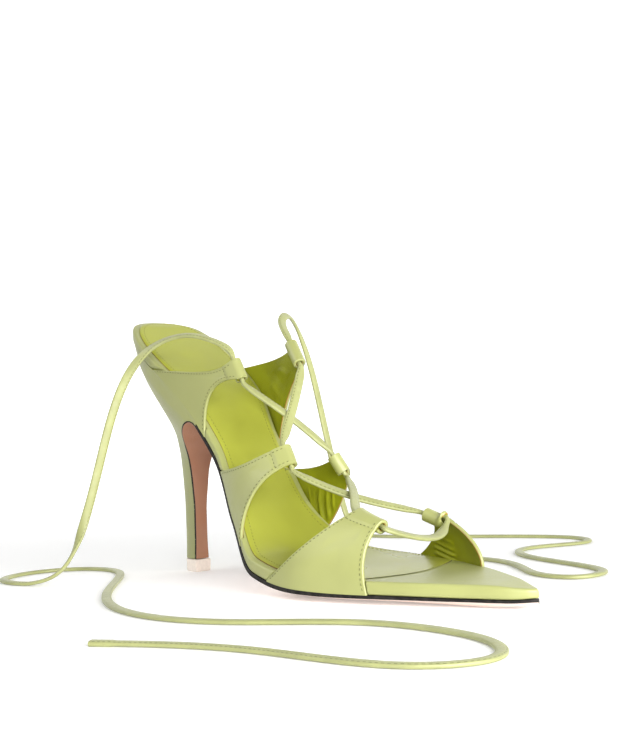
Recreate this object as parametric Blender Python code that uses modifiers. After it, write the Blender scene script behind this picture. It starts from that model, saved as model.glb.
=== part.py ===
"""High heel sandal, right shoe: a laced satin sandal on a slim heel, one object for each piece.

Sizes are in millimetres and become metres where a mesh is made. +X runs from the heel tip to the
toe, +Y is the medial side, +Z is up, and the origin is the middle of the top lift's tread.
"""
import math

import bmesh
import bpy
import numpy as np
from mathutils import Vector

MM = 0.001
GAP = 0.3                # clear space between pieces that touch
SEAT_GAP = 0.5           # the same above the sole, measured straight up on its slope

# Last: one row for each section across the foot
SECTION_COLUMNS = ("x", "seat_z", "lateral", "medial", "centre", "lean", "instep")
SECTIONS = (
    (-27.5, 120.4, 26.0, 26.2, 0.0, 30.0, 72.0),
    (-20.0, 117.2, 26.0, 26.2, 0.0, 32.0, 72.0),
    (-14.0, 113.2, 26.0, 26.2, 0.0, 34.0, 72.0),
    (4.0, 100.6, 26.0, 26.2, 0.0, 36.0, 70.0),
    (26.0, 83.5, 24.2, 25.0, 0.0, 42.0, 64.0),
    (48.0, 58.2, 22.2, 18.8, 0.0, 46.0, 54.0),
    (70.0, 29.4, 29.0, 16.6, 0.0, 42.0, 44.0),
    (92.0, 9.3, 36.8, 28.4, -0.1, 26.0, 39.0),
    (115.0, 5.1, 38.2, 39.8, -0.4, 10.0, 36.5),
    (140.0, 4.0, 32.6, 37.6, -0.9, 4.0, 34.0),
    (165.0, 3.9, 23.8, 27.9, -1.4, 2.0, 28.0),
    (190.0, 3.7, 13.5, 14.7, -1.8, 0.0, 22.0),
    (205.0, 3.7, 7.0, 5.6, -2.0, 0.0, 19.0),
    (213.0, 4.2, 1.5, 0.8, -2.1, 0.0, 18.0),
)
SECTION = {name: [row[i] for row in SECTIONS] for i, name in enumerate(SECTION_COLUMNS)}
HEEL_END, TOE_END = SECTION["x"][0], SECTION["x"][-1]
HEEL_ROUND_FROM = 4.0    # the outline starts to close round the heel here
HEEL_ROUND_POWER = 2.35
GIRTH_POWER = 2.3        # squareness of the sections over the foot
FOLLOW = 7.0             # how far up a wing keeps to the sole's own outline
LEAST_HALF = 0.25        # where an inset would close the outline
HEEL_CLOSE_STEPS = 8     # stations where the outline closes round the heel
TOE_CLOSE = (8.0, 4.0, 1.5, 0.0)       # and before the toe's tip

# Sole
INSOLE_THICK = 5.0       # measured straight up
INSOLE_LIP = 1.0         # rounding of the wrapped edge
# The wrapped edge from its lower corner to its upper one: set in by so many lips, part of the height
INSOLE_RIM = ((1.0, 0.0), (0.0, 0.3), (0.0, 0.72), (1.0, 1.0))
TOE_THIN_FROM, TOE_THIN = 196.0, 1.9   # the wrapped edge gets lower towards the tip
TOE_CURVE = 1.6          # power of that fall and of the toe spring
SOCK_THICK = 0.9
SOCK_FRONT = 153.0
SOCK_BEND = 0.0115       # bow of the sock's front edge
SOCK_BEND_Y = -5.0
SOCK_BEND_FROM, SOCK_BEND_OVER = 60.0, 90.0
SOCK_SPREAD = 0.10       # crowds its rows towards the heel
SOCK_ROWS, SOCK_COLS = 26, 6
SOCK_INSET = 3.4
OUTSOLE_SHANK = 2.0      # thickness under the arch
OUTSOLE_EDGE = 2.2       # height of the edge at the ball
OUTSOLE_TOE_EDGE = 1.3
OUTSOLE_CAMBER = 15.0    # how far in the forefoot's flat tread starts
CAMBER_FROM, CAMBER_OVER, CAMBER_LEAST = 74.0, 36.0, 0.08
SHANK_BLEND = 36.0       # over which the tread thins to the shank
TREAD_FROM, TREAD_TO = 112.0, 190.0
TOE_SPRING = 2.3
FLAP_THICK = 1.3         # the sole's leather down the heel breast
FOLD_VISIBLE = (31.3, 75.0)
FOLD_HIDDEN = (31.7, 77.2)
FOLD_HALF = 22.9
FLAP_EDGE, FLAP_ROUND = 0.7, 0.4       # where the flap's edge starts to round, and by how much

# Heel: a row runs from a point on the breast leather to a point on the back
HEEL_COLUMNS = ("front_x", "front_z", "half", "back_x", "back_z", "seat")
HEEL_ROWS = (
    (28.8, 73.8, 21.8, -24.4, 112.0, 0.80),
    (23.8, 71.2, 19.2, -21.8, 104.0, 0.54),
    (18.2, 68.0, 15.8, -18.0, 96.0, 0.32),
    (13.0, 64.8, 12.2, -14.6, 87.5, 0.16),
    (9.4, 61.4, 9.4, -11.6, 79.0, 0.06),
    (7.4, 56.5, 7.0, -9.0, 69.0, 0.01),
    (6.6, 49.0, 5.3, -7.2, 57.0, 0.0),
    (6.3, 41.0, 4.4, -6.5, 45.5, 0.0),
    (5.8, 30.0, 3.5, -6.2, 31.5, 0.0),
    (5.5, 18.0, 3.5, -6.2, 18.5, 0.0),
    (5.3, 6.4, 3.9, -6.5, 6.4, 0.0),
)
HEEL_D_POWER = 0.8       # fullness of the heel's D section
HEEL_INSET = 0.4         # the heel's top edge inside the insole's edge
HEEL_TOP_FRONT = 30.4
HEEL_STEPS = 9           # along each side of the D
LIFT_HEIGHT = 6.1
LIFT_FRONT, LIFT_BACK, LIFT_HALF = 5.6, -6.7, 4.4
LIFT_TAPER = 0.15

# Wings: stations of the rear and front edge at the base, half way up and at the tab
WING_THICK = 1.5
RECESS_RAMP = 3.0        # over which the insole's edge steps back behind a wing
RECESS_DEPTH = WING_THICK + 4 * GAP
CLEAR_STATION, LEAST_STATION = 2.0, 0.8  # spacing kept round the recess's ends
WING_COLUMNS = ("name", "side", "rear_base", "rear_mid", "rear_tab", "front_base", "front_mid",
                "front_tab", "rear_rise", "front_rise")
WINGS = (
    ("quarter_lateral", -1, 6.5, 27.0, 35.0, 42.0, 35.5, 40.7, 35.5, 33.5),
    ("quarter_medial", 1, 6.5, 24.6, 33.8, 47.0, 40.5, 41.6, 44.0, 44.5),
    ("waist_lateral", -1, 54.0, 61.5, 66.8, 79.5, 72.8, 74.2, 37.8, 36.8),
    ("waist_medial", 1, 55.0, 64.0, 71.2, 77.5, 77.5, 78.2, 37.2, 35.8),
    ("vamp_lateral", -1, 102.2, 118.6, 136.0, 152.6, 150.2, 150.6, 30.6, 26.0),
    ("vamp_medial", 1, 108.0, 125.0, 131.5, 160.5, 160.0, 141.4, 26.6, 23.4),
)
LOOP_RADIUS = 2.2        # middle of the rolled leather
LOOP_TURN = math.radians(285.0)
WING_COLS, WING_RISE_STEPS, LOOP_STEPS = 9, 8, 9

# Lace: flat, with round edges
LACE_WIDE, LACE_THICK = 5.0, 1.6
LACE_CLEAR = 0.9         # from a loop's mouth to the end of the lace beside it
LACE_STEP = 5.5          # about how far apart the points of a crossing lie
LACE_STEM = 2.5          # how far a lace runs straight on from a loop
LACE_OVER = Vector((0.25, 0.0, 0.35))   # half the step where two strands cross
FRONT_MEET = (117.8, 1.0, 38.6)
INSTEP_MEET = (82.0, -4.0, 74.2)
TOE_BAR_REACH = (6.0, 0.0, -6.0)        # how far the first bar bows out
TOE_BAR_STEM = 3.5
TOE_BAR_POINTS = 15
END_STEM = 5.0
END_POINTS = 60          # points of each free end's tube
FLOOR_CLEAR = 0.1
LATERAL_END = (
    (45.0, -20.5, 111.0), (33.0, -24.5, 113.5), (19.0, -31.0, 110.5), (8.0, -38.0, 100.0),
    (1.0, -45.0, 80.0), (-4.0, -51.0, 54.0), (-9.0, -58.0, 26.0), (-16.0, -67.0, 6.0),
    (-30.0, -78.0, 0.9), (-53.0, -77.0, 0.9), (-66.0, -57.0, 0.9), (-58.0, -34.0, 0.9),
    (-34.0, -27.0, 0.9), (-9.0, -39.0, 0.9), (17.0, -59.0, 0.9), (44.0, -78.0, 0.9), (74.0, -92.0, 0.9),
    (106.0, -96.0, 0.9), (136.0, -88.0, 0.9), (160.0, -72.0, 0.9), (184.0, -58.0, 0.9),
    (212.0, -54.0, 0.9), (240.0, -60.0, 0.9), (256.0, -78.0, 0.9), (246.0, -98.0, 0.9),
    (218.0, -108.0, 0.9), (188.0, -113.0, 0.9), (160.0, -123.0, 0.9), (134.0, -138.0, 0.9),
)
MEDIAL_END = (
    (50.0, 20.0, 119.0), (44.0, 28.0, 123.0), (37.0, 40.0, 118.0), (34.0, 50.0, 101.0),
    (34.0, 57.0, 74.0), (36.0, 63.0, 42.0), (40.0, 69.0, 15.0), (48.0, 77.0, 2.0),
    (66.0, 89.0, 0.9), (92.0, 97.0, 0.9), (119.0, 93.0, 0.9), (141.0, 79.0, 0.9),
    (160.0, 67.0, 0.9), (177.0, 69.0, 0.9), (178.0, 86.0, 0.9), (160.0, 99.0, 0.9),
    (133.0, 108.0, 0.9), (107.0, 120.0, 0.9), (93.0, 139.0, 0.9), (97.0, 160.0, 0.9),
    (102.0, 179.0, 0.9), (88.0, 193.0, 0.9), (62.0, 191.0, 0.9), (36.0, 180.0, 0.9),
    (10.0, 167.0, 0.9), (-18.0, 155.0, 0.9), (-47.0, 151.0, 0.9), (-74.0, 158.0, 0.9),
    (-96.0, 174.0, 0.9), (-110.0, 196.0, 0.9), (-116.0, 221.0, 0.9),
)

# Finish: colour, roughness
FINISH = {
    "satin": ((0.50, 0.53, 0.22), 0.42),
    "leather": ((0.46, 0.49, 0.07), 0.35),
    "sole": ((0.36, 0.16, 0.09), 0.50),
    "lift": ((0.78, 0.66, 0.58), 0.45),
}


def smooth(knots, values, at):
    """Read a table along a curve that never overshoots its rows."""
    knots = np.asarray(knots, float)
    values = np.asarray(values, float)
    step = np.diff(knots)
    rise = np.diff(values) / step
    slope = np.empty(len(knots))
    slope[0], slope[-1] = rise[0], rise[-1]
    same_way = rise[:-1] * rise[1:] > 0
    before = np.where(same_way, rise[:-1], 1.0)
    after = np.where(same_way, rise[1:], 1.0)
    weight_a = 2 * step[1:] + step[:-1]
    weight_b = step[1:] + 2 * step[:-1]
    mean = (weight_a + weight_b) / (weight_a / before + weight_b / after)
    slope[1:-1] = np.where(same_way, mean, 0.0)
    at = np.clip(at, knots[0], knots[-1])
    i = np.clip(np.searchsorted(knots, at) - 1, 0, len(knots) - 2)
    t = (at - knots[i]) / step[i]
    return (values[i] * (1 + 2 * t) * (1 - t) ** 2 + values[i + 1] * t * t * (3 - 2 * t)
            + step[i] * (slope[i] * t * (1 - t) ** 2 - slope[i + 1] * t * t * (1 - t)))


def last(column, x):
    return smooth(SECTION["x"], SECTION[column], x)


def half_width(x, side):
    """Distance from the centre line to the edge on one side (-1 lateral, 1 medial)."""
    plain = last("lateral" if side < 0 else "medial", x)
    reach = np.clip((HEEL_ROUND_FROM - x) / (HEEL_ROUND_FROM - HEEL_END), 0.0, 1.0)
    return plain * (1.0 - reach ** HEEL_ROUND_POWER) ** (1.0 / HEEL_ROUND_POWER)


def insole_top(x):
    thinner = TOE_THIN * np.clip((x - TOE_THIN_FROM) / (TOE_END - TOE_THIN_FROM), 0.0, 1.0) ** TOE_CURVE
    return last("seat_z", x) + INSOLE_THICK - thinner


def edge_y(x, side, inset=0.0):
    return last("centre", x) + side * np.maximum(half_width(x, side) - inset, LEAST_HALF)


def slope_normal(x):
    """Unit vector square to the sole, in the XZ plane."""
    fall = -(last("seat_z", x + 0.5) - last("seat_z", x - 0.5))
    length = math.hypot(1.0, fall)
    return fall / length, 1.0 / length


def stations(start, stop, spacing):
    """Places along the shoe, closer together where the heel and the toe close."""
    count = int(round((stop - start) / spacing))
    places = list(np.linspace(start, stop, count + 1))
    if start == HEEL_END:
        closing = HEEL_ROUND_FROM - HEEL_END
        turns = np.linspace(0.06, 1.0, HEEL_CLOSE_STEPS) * math.pi / 2
        places = [HEEL_ROUND_FROM - closing * math.cos(t) for t in turns] \
            + [x for x in places if x > HEEL_ROUND_FROM + spacing / 2]
    if stop == TOE_END:
        places = [x for x in places if x < TOE_END - TOE_CLOSE[0] - 1.0] + [TOE_END - d for d in TOE_CLOSE]
    return places


def with_wing_ends(places):
    """The same places with the ends of each wing's base among them."""
    ends = []
    for row in WINGS:
        wing = dict(zip(WING_COLUMNS, row))
        rear, front = wing["rear_base"], wing["front_base"]
        ends += [rear - RECESS_RAMP, rear, front + RECESS_RAMP, front + 2 * RECESS_RAMP]
    kept = [x for x in places if min(abs(x - end) for end in ends) > CLEAR_STATION]
    spread = [end for i, end in enumerate(ends)
              if all(abs(end - other) > LEAST_STATION for other in ends[:i])]
    return sorted(kept + spread)


def wing_recess(x, side):
    """How far the insole's edge stands back so that a wing's base lies flush."""
    recess = 0.0
    for row in WINGS:
        wing = dict(zip(WING_COLUMNS, row))
        if wing["side"] == side:
            outside = max(wing["rear_base"] - x, x - wing["front_base"] - RECESS_RAMP, 0.0)
            recess = max(recess, RECESS_DEPTH * max(0.0, 1.0 - outside / RECESS_RAMP))
    return recess


def finish(name):
    material = bpy.data.materials.get(name)
    if material is None:
        material = bpy.data.materials.new(name)
        material.use_nodes = True
        colour, roughness = FINISH[name]
        shader = material.node_tree.nodes["Principled BSDF"]
        shader.inputs["Base Color"].default_value = (*colour, 1.0)
        shader.inputs["Roughness"].default_value = roughness
    return material


def add_object(name, data, collection, look):
    piece = bpy.data.objects.new(name, data)
    data.materials.append(finish(look))
    collection.objects.link(piece)
    return piece


def mesh_from(name, shape):
    """Turn a bmesh in millimetres into a mesh in metres with its faces out."""
    bmesh.ops.recalc_face_normals(shape, faces=shape.faces)
    bmesh.ops.scale(shape, vec=(MM, MM, MM), verts=shape.verts)
    mesh = bpy.data.meshes.new(name)
    shape.to_mesh(mesh)
    shape.free()
    mesh.shade_smooth()
    mesh.set_sharp_from_angle(angle=math.radians(40.0))
    return mesh


def loft(rings, pairs):
    """Skin closed rings of equal length; pairs lists the cap's bars across each end ring."""
    shape = bmesh.new()
    rows = [[shape.verts.new(point) for point in ring] for ring in rings]
    count = len(rows[0])
    for low, high in zip(rows, rows[1:]):
        for i in range(count):
            j = (i + 1) % count
            shape.faces.new((low[i], low[j], high[j], high[i]))
    for row in (rows[0], rows[-1]):
        for (a, b), (c, d) in zip(pairs, pairs[1:]):
            corners = [row[a], row[c]] + ([row[d]] if d != c else []) + [row[b]]
            shape.faces.new(corners)
    return shape


def build_insole(collection):
    rings = []
    for x in with_wing_ends(stations(HEEL_END, TOE_END, 7.0)):
        low = last("seat_z", x) + SEAT_GAP
        ring = {}
        for side in (-1, 1):
            inset = wing_recess(x, side)
            lip = min(INSOLE_LIP, 0.4 * half_width(x, side) + 0.05)
            ring[side] = [(x, edge_y(x, side, inset + lips * lip), low + up * (insole_top(x) - low))
                          for lips, up in INSOLE_RIM]
        rings.append(ring[-1] + ring[1][::-1])
    shape = loft(rings, [(0, 7), (1, 6), (2, 5), (3, 4)])
    return add_object("insole", mesh_from("insole", shape), collection, "satin")


def sock_y(x, across):
    """A place across the sock, from its lateral edge (-1) to its medial one (1)."""
    edge = edge_y(x, -1 if across < 0 else 1, SOCK_INSET)
    return abs(across) * edge + (1 - abs(across)) * last("centre", x)


def build_sock(collection):
    shape = bmesh.new()
    bmesh.ops.create_grid(shape, x_segments=SOCK_ROWS, y_segments=SOCK_COLS, size=1.0)
    start = HEEL_END + SOCK_INSET + 2 * GAP
    for vert in shape.verts:
        along = (vert.co.x + 1.0) / 2.0
        along += SOCK_SPREAD * math.sin(math.pi * along) * (along - 1.0)
        plain = start + (SOCK_FRONT - start) * along
        bow = SOCK_BEND * np.clip((plain - SOCK_BEND_FROM) / SOCK_BEND_OVER, 0.0, 1.0) ** 2
        x = plain - bow * (sock_y(plain, vert.co.y) - SOCK_BEND_Y) ** 2
        vert.co = (x, sock_y(x, vert.co.y), insole_top(x) + SEAT_GAP)
    sock = add_object("sock", mesh_from("sock", shape), collection, "leather")
    if sock.data.polygons[0].normal.z < 0:
        sock.data.flip_normals()
    shell = sock.modifiers.new("thickness", "SOLIDIFY")
    shell.thickness = SOCK_THICK * MM
    shell.offset = 1.0
    return sock


def outsole_bottom(x):
    """The visible face under a place on the insole: flat tread, toe spring and shank."""
    spring = TOE_SPRING * max(0.0, (x - TREAD_TO) / (TOE_END - TREAD_TO)) ** TOE_CURVE
    if x >= TREAD_FROM:
        return x, spring
    normal = slope_normal(x)
    top = float(last("seat_z", x))
    off_tread = min(1.0, (TREAD_FROM - x) / SHANK_BLEND)
    thick = OUTSOLE_SHANK + (last("seat_z", TREAD_FROM) - OUTSOLE_SHANK) * (1.0 - off_tread) ** 2
    return x - normal[0] * thick, max(0.0, top - normal[1] * thick)


def build_outsole(collection):
    rings = []
    for x in stations(35.0, TOE_END, 6.0)[::-1]:
        top = (x, float(last("seat_z", x)))
        low = outsole_bottom(x)
        thick = math.hypot(top[0] - low[0], top[1] - low[1])
        rim = np.interp(x, (TREAD_FROM, TREAD_TO), (OUTSOLE_EDGE, OUTSOLE_TOE_EDGE))
        edge = min(rim, 0.75 * thick) / thick
        mid = (top[0] + (low[0] - top[0]) * edge, top[1] + (low[1] - top[1]) * edge)
        camber = OUTSOLE_CAMBER * np.clip((x - CAMBER_FROM) / CAMBER_OVER, CAMBER_LEAST, 1.0)
        rings.append(sole_ring(top, mid, low, x, camber))
    rings.append(fold_ring(FOLD_HIDDEN, FOLD_VISIBLE, FOLD_HALF))
    for row in HEEL_ROWS:
        heel = dict(zip(HEEL_COLUMNS, row))
        hidden = breast_offset(heel, FLAP_THICK)
        rings.append(fold_ring(hidden, (heel["front_x"], heel["front_z"]), heel["half"]))
    shape = loft(rings, [(0, 5), (1, 4), (2, 3)])
    return add_object("outsole", mesh_from("outsole", shape), collection, "sole")


def sole_ring(top, mid, low, x, camber):
    ring = {}
    for side in (-1, 1):
        inset = min(camber, 0.55 * half_width(x, side))
        ring[side] = [(top[0], edge_y(x, side), top[1]), (mid[0], edge_y(x, side), mid[1]),
                      (low[0], edge_y(x, side, inset), low[1])]
    return ring[-1] + ring[1][::-1]


def fold_ring(hidden, visible, half):
    mid = [back + FLAP_EDGE * (face - back) for back, face in zip(hidden, visible)]
    chain = [(hidden, half), (mid, half), (visible, half - FLAP_ROUND)]
    lateral = [(point[0], -wide, point[1]) for point, wide in chain]
    medial = [(point[0], wide, point[1]) for point, wide in chain]
    return lateral + medial[::-1]


def breast_offset(heel, distance):
    """A point behind the breast's visible face, square to it."""
    rows = [dict(zip(HEEL_COLUMNS, row)) for row in HEEL_ROWS]
    i = rows.index(heel)
    before, after = rows[max(i - 1, 0)], rows[min(i + 1, len(rows) - 1)]
    run = (after["front_x"] - before["front_x"], after["front_z"] - before["front_z"])
    length = math.hypot(*run)
    if i == len(rows) - 1:
        return heel["front_x"] - distance, heel["front_z"]
    return heel["front_x"] + run[1] / length * distance, heel["front_z"] - run[0] / length * distance


def heel_ring(front, back, half, seat):
    """A D section from the breast to the back, drawn out to the seat's outline near the top."""
    chain = {-1: [], 1: []}
    for k in range(HEEL_STEPS + 1):
        turn = k / HEEL_STEPS * math.pi / 2
        reach = math.sin(turn)
        x = front[0] + reach * (back[0] - front[0])
        z = front[1] + reach * (back[1] - front[1])
        plain = half * math.cos(turn) ** HEEL_D_POWER
        seat_x = HEEL_TOP_FRONT + reach * (HEEL_END + HEEL_INSET - HEEL_TOP_FRONT)
        for side in (-1, 1):
            wide = float(abs(edge_y(seat_x, side, HEEL_INSET)))
            chain[side].append((x, side * ((1 - seat) * plain + seat * wide), z))
    end = chain[-1][-1]
    chain[-1][-1] = (end[0], 0.0, end[2])
    return chain[-1] + chain[1][-2::-1]


def build_heel(collection):
    top_ring = []
    for x, y, _ in heel_ring((HEEL_TOP_FRONT, 0.0), (HEEL_END + HEEL_INSET, 0.0), 0.0, 1.0):
        top_ring.append((x, y, float(last("seat_z", x))))
    rings = [top_ring]
    for row in HEEL_ROWS:
        heel = dict(zip(HEEL_COLUMNS, row))
        front = breast_offset(heel, FLAP_THICK + GAP)
        rings.append(heel_ring(front, (heel["back_x"], heel["back_z"]), heel["half"], heel["seat"]))
    count = len(top_ring)
    middle = count // 2
    pairs = [(i, count - 1 - i) for i in range(middle)] + [(middle, middle)]
    shape = loft(rings, pairs)
    return add_object("heel", mesh_from("heel", shape), collection, "satin")


def build_top_lift(collection):
    rings = []
    for z, grow in ((0.0, -LIFT_TAPER), (LIFT_HEIGHT, 0.0)):
        ring = heel_ring((LIFT_FRONT + grow, z), (LIFT_BACK - grow, z), LIFT_HALF + grow, 0.0)
        rings.append(ring)
    count = len(rings[0])
    middle = count // 2
    pairs = [(i, count - 1 - i) for i in range(middle)] + [(middle, middle)]
    return add_object("top_lift", mesh_from("top_lift", loft(rings, pairs)), collection, "lift")


def last_point(station, rise, side):
    """A point of the upper: so far up the section at a station, on the wing's middle layer."""
    lean = math.radians(float(last("lean", station)))
    follow = station + FOLLOW * (1.0 - math.exp(-rise / FOLLOW)) * math.sin(lean)
    wide = float(half_width(follow, side)) - WING_THICK / 2
    closing = (rise / float(last("instep", station))) ** GIRTH_POWER
    y = float(last("centre", follow)) + side * wide * max(1.0 - closing, 0.0) ** (1.0 / GIRTH_POWER)
    z = float(last("seat_z", station)) + SEAT_GAP + rise * math.cos(lean)
    return Vector((station + rise * math.sin(lean), y, z))


def through(base, mid, tab, up):
    """A curve through three stations, read at a height between base (0) and tab (1)."""
    return base * (1 - up) * (1 - 2 * up) + mid * 4 * up * (1 - up) + tab * up * (2 * up - 1)


def wing_point(wing, across, up):
    rear = through(wing["rear_base"], wing["rear_mid"], wing["rear_tab"], up)
    front = through(wing["front_base"], wing["front_mid"], wing["front_tab"], up)
    rise = up * (wing["rear_rise"] * (1 - across) + wing["front_rise"] * across)
    return last_point(rear + across * (front - rear), rise, wing["side"])


def loop_frame(wing, across):
    """Where a wing's tab ends, the way it was heading, and the way in to the foot."""
    end = wing_point(wing, across, 1.0)
    heading = (end - wing_point(wing, across, 0.96)).normalized()
    along = (wing_point(wing, 1.0, 1.0) - wing_point(wing, 0.0, 1.0)).normalized()
    inward = heading.cross(along).normalized() * (1 if wing["side"] < 0 else -1)
    return end, inward.cross(along).normalized() * (-1 if wing["side"] < 0 else 1), inward, along


def rolled_point(wing, across, turn):
    end, heading, inward, _ = loop_frame(wing, across)
    return end + LOOP_RADIUS * ((1 - math.cos(turn)) * inward + math.sin(turn) * heading)


def build_wing(row, collection):
    wing = dict(zip(WING_COLUMNS, row))
    shape = bmesh.new()
    rows = WING_RISE_STEPS + LOOP_STEPS
    bmesh.ops.create_grid(shape, x_segments=WING_COLS, y_segments=rows, size=1.0)
    for vert in shape.verts:
        across = (vert.co.x + 1.0) / 2.0
        place = (vert.co.y + 1.0) / 2.0 * rows
        if place <= WING_RISE_STEPS + 1e-4:
            vert.co = wing_point(wing, across, place / WING_RISE_STEPS)
        else:
            vert.co = rolled_point(wing, across, (place - WING_RISE_STEPS) / LOOP_STEPS * LOOP_TURN)
    piece = add_object(wing["name"], mesh_from(wing["name"], shape), collection, "satin")
    shell = piece.modifiers.new("thickness", "SOLIDIFY")
    shell.thickness = WING_THICK * MM
    shell.offset = 0.0
    shell.use_even_offset = True
    return piece


def loop_mouth(name, end):
    """Where the lace leaves a loop (rear or front end) and which way it heads."""
    row = next(row for row in WINGS if row[0] == name)
    wing = dict(zip(WING_COLUMNS, row))
    place, _, inward, along = loop_frame(wing, 0.0 if end == "rear" else 1.0)
    out = -along if end == "rear" else along
    return place + LOOP_RADIUS * inward + LACE_CLEAR * out, out


def curve_through(points, count):
    """Even points along a smooth curve through a route's own points."""
    route = np.array([tuple(point) for point in points], float)
    reach = np.concatenate([[0.0], np.cumsum(np.linalg.norm(np.diff(route, axis=0), axis=1) ** 0.5)])
    fine = np.linspace(0.0, reach[-1], 40 * len(route))
    dense = np.stack([natural_spline(reach, route[:, axis], fine) for axis in range(3)], axis=1)
    run = np.concatenate([[0.0], np.cumsum(np.linalg.norm(np.diff(dense, axis=0), axis=1))])
    even = np.linspace(0.0, run[-1], count)
    return np.stack([np.interp(even, run, dense[:, axis]) for axis in range(3)], axis=1)


def natural_spline(knots, values, at):
    """Cubic spline with free ends."""
    count = len(knots)
    step = np.diff(knots)
    system = np.eye(count)
    right = np.zeros(count)
    for i in range(1, count - 1):
        system[i, i - 1:i + 2] = step[i - 1], 2 * (step[i - 1] + step[i]), step[i]
        right[i] = 6 * ((values[i + 1] - values[i]) / step[i] - (values[i] - values[i - 1]) / step[i - 1])
    bend = np.linalg.solve(system, right)
    i = np.clip(np.searchsorted(knots, at) - 1, 0, count - 2)
    a = (knots[i + 1] - at) / step[i]
    b = 1.0 - a
    return (a * values[i] + b * values[i + 1]
            + ((a ** 3 - a) * bend[i] + (b ** 3 - b) * bend[i + 1]) * step[i] ** 2 / 6)


def lace_curve(name, points, collection):
    """A flat lace along points: a thin ribbon with round edges."""
    curve = bpy.data.curves.new(name, "CURVE")
    curve.dimensions = "3D"
    curve.twist_mode = "Z_UP"
    curve.bevel_depth = LACE_THICK / 2 * MM
    curve.bevel_resolution = 2
    curve.extrude = (LACE_WIDE - LACE_THICK) / 2 * MM
    curve.use_fill_caps = True
    spline = curve.splines.new("POLY")
    spline.points.add(len(points) - 1)
    for point, place in zip(spline.points, points):
        point.co = (*(float(value) * MM for value in place), 1.0)
        point.tilt = math.pi / 2
    return add_object(name, curve, collection, "satin")


def lace_mesh(name, points, collection):
    """The same lace as a closed mesh, for joining."""
    ribbon = lace_curve(name, points, collection)
    evaluated = ribbon.evaluated_get(bpy.context.evaluated_depsgraph_get())
    mesh = bpy.data.meshes.new_from_object(evaluated)
    bpy.data.objects.remove(ribbon)
    shape = bmesh.new()
    shape.from_mesh(mesh)
    bmesh.ops.remove_doubles(shape, verts=shape.verts, dist=0.00001)
    bmesh.ops.recalc_face_normals(shape, faces=shape.faces)
    shape.to_mesh(mesh)
    shape.free()
    piece = bpy.data.objects.new(name, mesh)
    collection.objects.link(piece)
    return piece


def strand(start, stop, meet):
    """Points of a lace from one loop's mouth to another's, by way of a meeting point."""
    (a, a_out), (b, b_out) = loop_mouth(*start), loop_mouth(*stop)
    route = [a, a + LACE_STEM * a_out, meet, b + LACE_STEM * b_out, b]
    count = max(8, int((a - b).length / LACE_STEP) + 4)
    return curve_through(route, count)


def build_cross(name, first, second, meet, collection, cutters):
    """Two strands joined where one passes over the other."""
    over = lace_mesh(name, strand(*first, Vector(meet) + LACE_OVER), collection)
    over.data.name = name
    under = lace_mesh(name + "_under", strand(*second, Vector(meet) - LACE_OVER), cutters)
    under.hide_render = True
    under.display_type = "WIRE"
    union = over.modifiers.new("joined", "BOOLEAN")
    union.operation = "UNION"
    union.solver = "EXACT"
    union.object = under
    return over


def build_laces(collection, cutters):
    near, far = loop_mouth("vamp_lateral", "front"), loop_mouth("vamp_medial", "front")
    middle = (near[0] + far[0]) / 2 + Vector(TOE_BAR_REACH)
    toe = curve_through([near[0], near[0] + TOE_BAR_STEM * near[1], middle,
                         far[0] + TOE_BAR_STEM * far[1], far[0]], TOE_BAR_POINTS)
    lace_curve("lace_toe", toe, collection)
    build_cross("lace_cross_front", (("vamp_lateral", "rear"), ("waist_medial", "front")),
                (("vamp_medial", "rear"), ("waist_lateral", "front")), FRONT_MEET, collection, cutters)
    build_cross("lace_cross_instep", (("waist_lateral", "rear"), ("quarter_medial", "front")),
                (("waist_medial", "rear"), ("quarter_lateral", "front")), INSTEP_MEET, collection, cutters)
    for side, route in (("lateral", LATERAL_END), ("medial", MEDIAL_END)):
        start, out = loop_mouth("quarter_" + side, "rear")
        points = curve_through([start, start + END_STEM * out, *route], END_POINTS)
        points[:, 2] = np.maximum(points[:, 2], LACE_THICK / 2 + FLOOR_CLEAR)
        lace_curve("lace_end_" + side, points, collection)


def main():
    for old in list(bpy.data.objects):
        bpy.data.objects.remove(old)
    parts = bpy.data.collections.new("high_heel_sandal")
    cutters = bpy.data.collections.new("cutters")
    for collection in (parts, cutters):
        bpy.context.scene.collection.children.link(collection)
    build_outsole(parts)
    build_heel(parts)
    build_top_lift(parts)
    build_insole(parts)
    build_sock(parts)
    for row in WINGS:
        build_wing(row, parts)
    build_laces(parts, cutters)


main()
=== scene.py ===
"""High heel sandal: the looks of a right shoe, a laced satin sandal on a slim heel.

Lengths inside the functions are millimetres in the part's own frame: +X from the heel tip to the
toe, +Y to the medial side, +Z up. A mesh becomes metres when it is finished.
"""

import functools
import math

import bmesh
import bpy
import numpy as np
from bpy.props import FloatProperty, FloatVectorProperty, PointerProperty
from mathutils import Matrix, Vector


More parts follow.
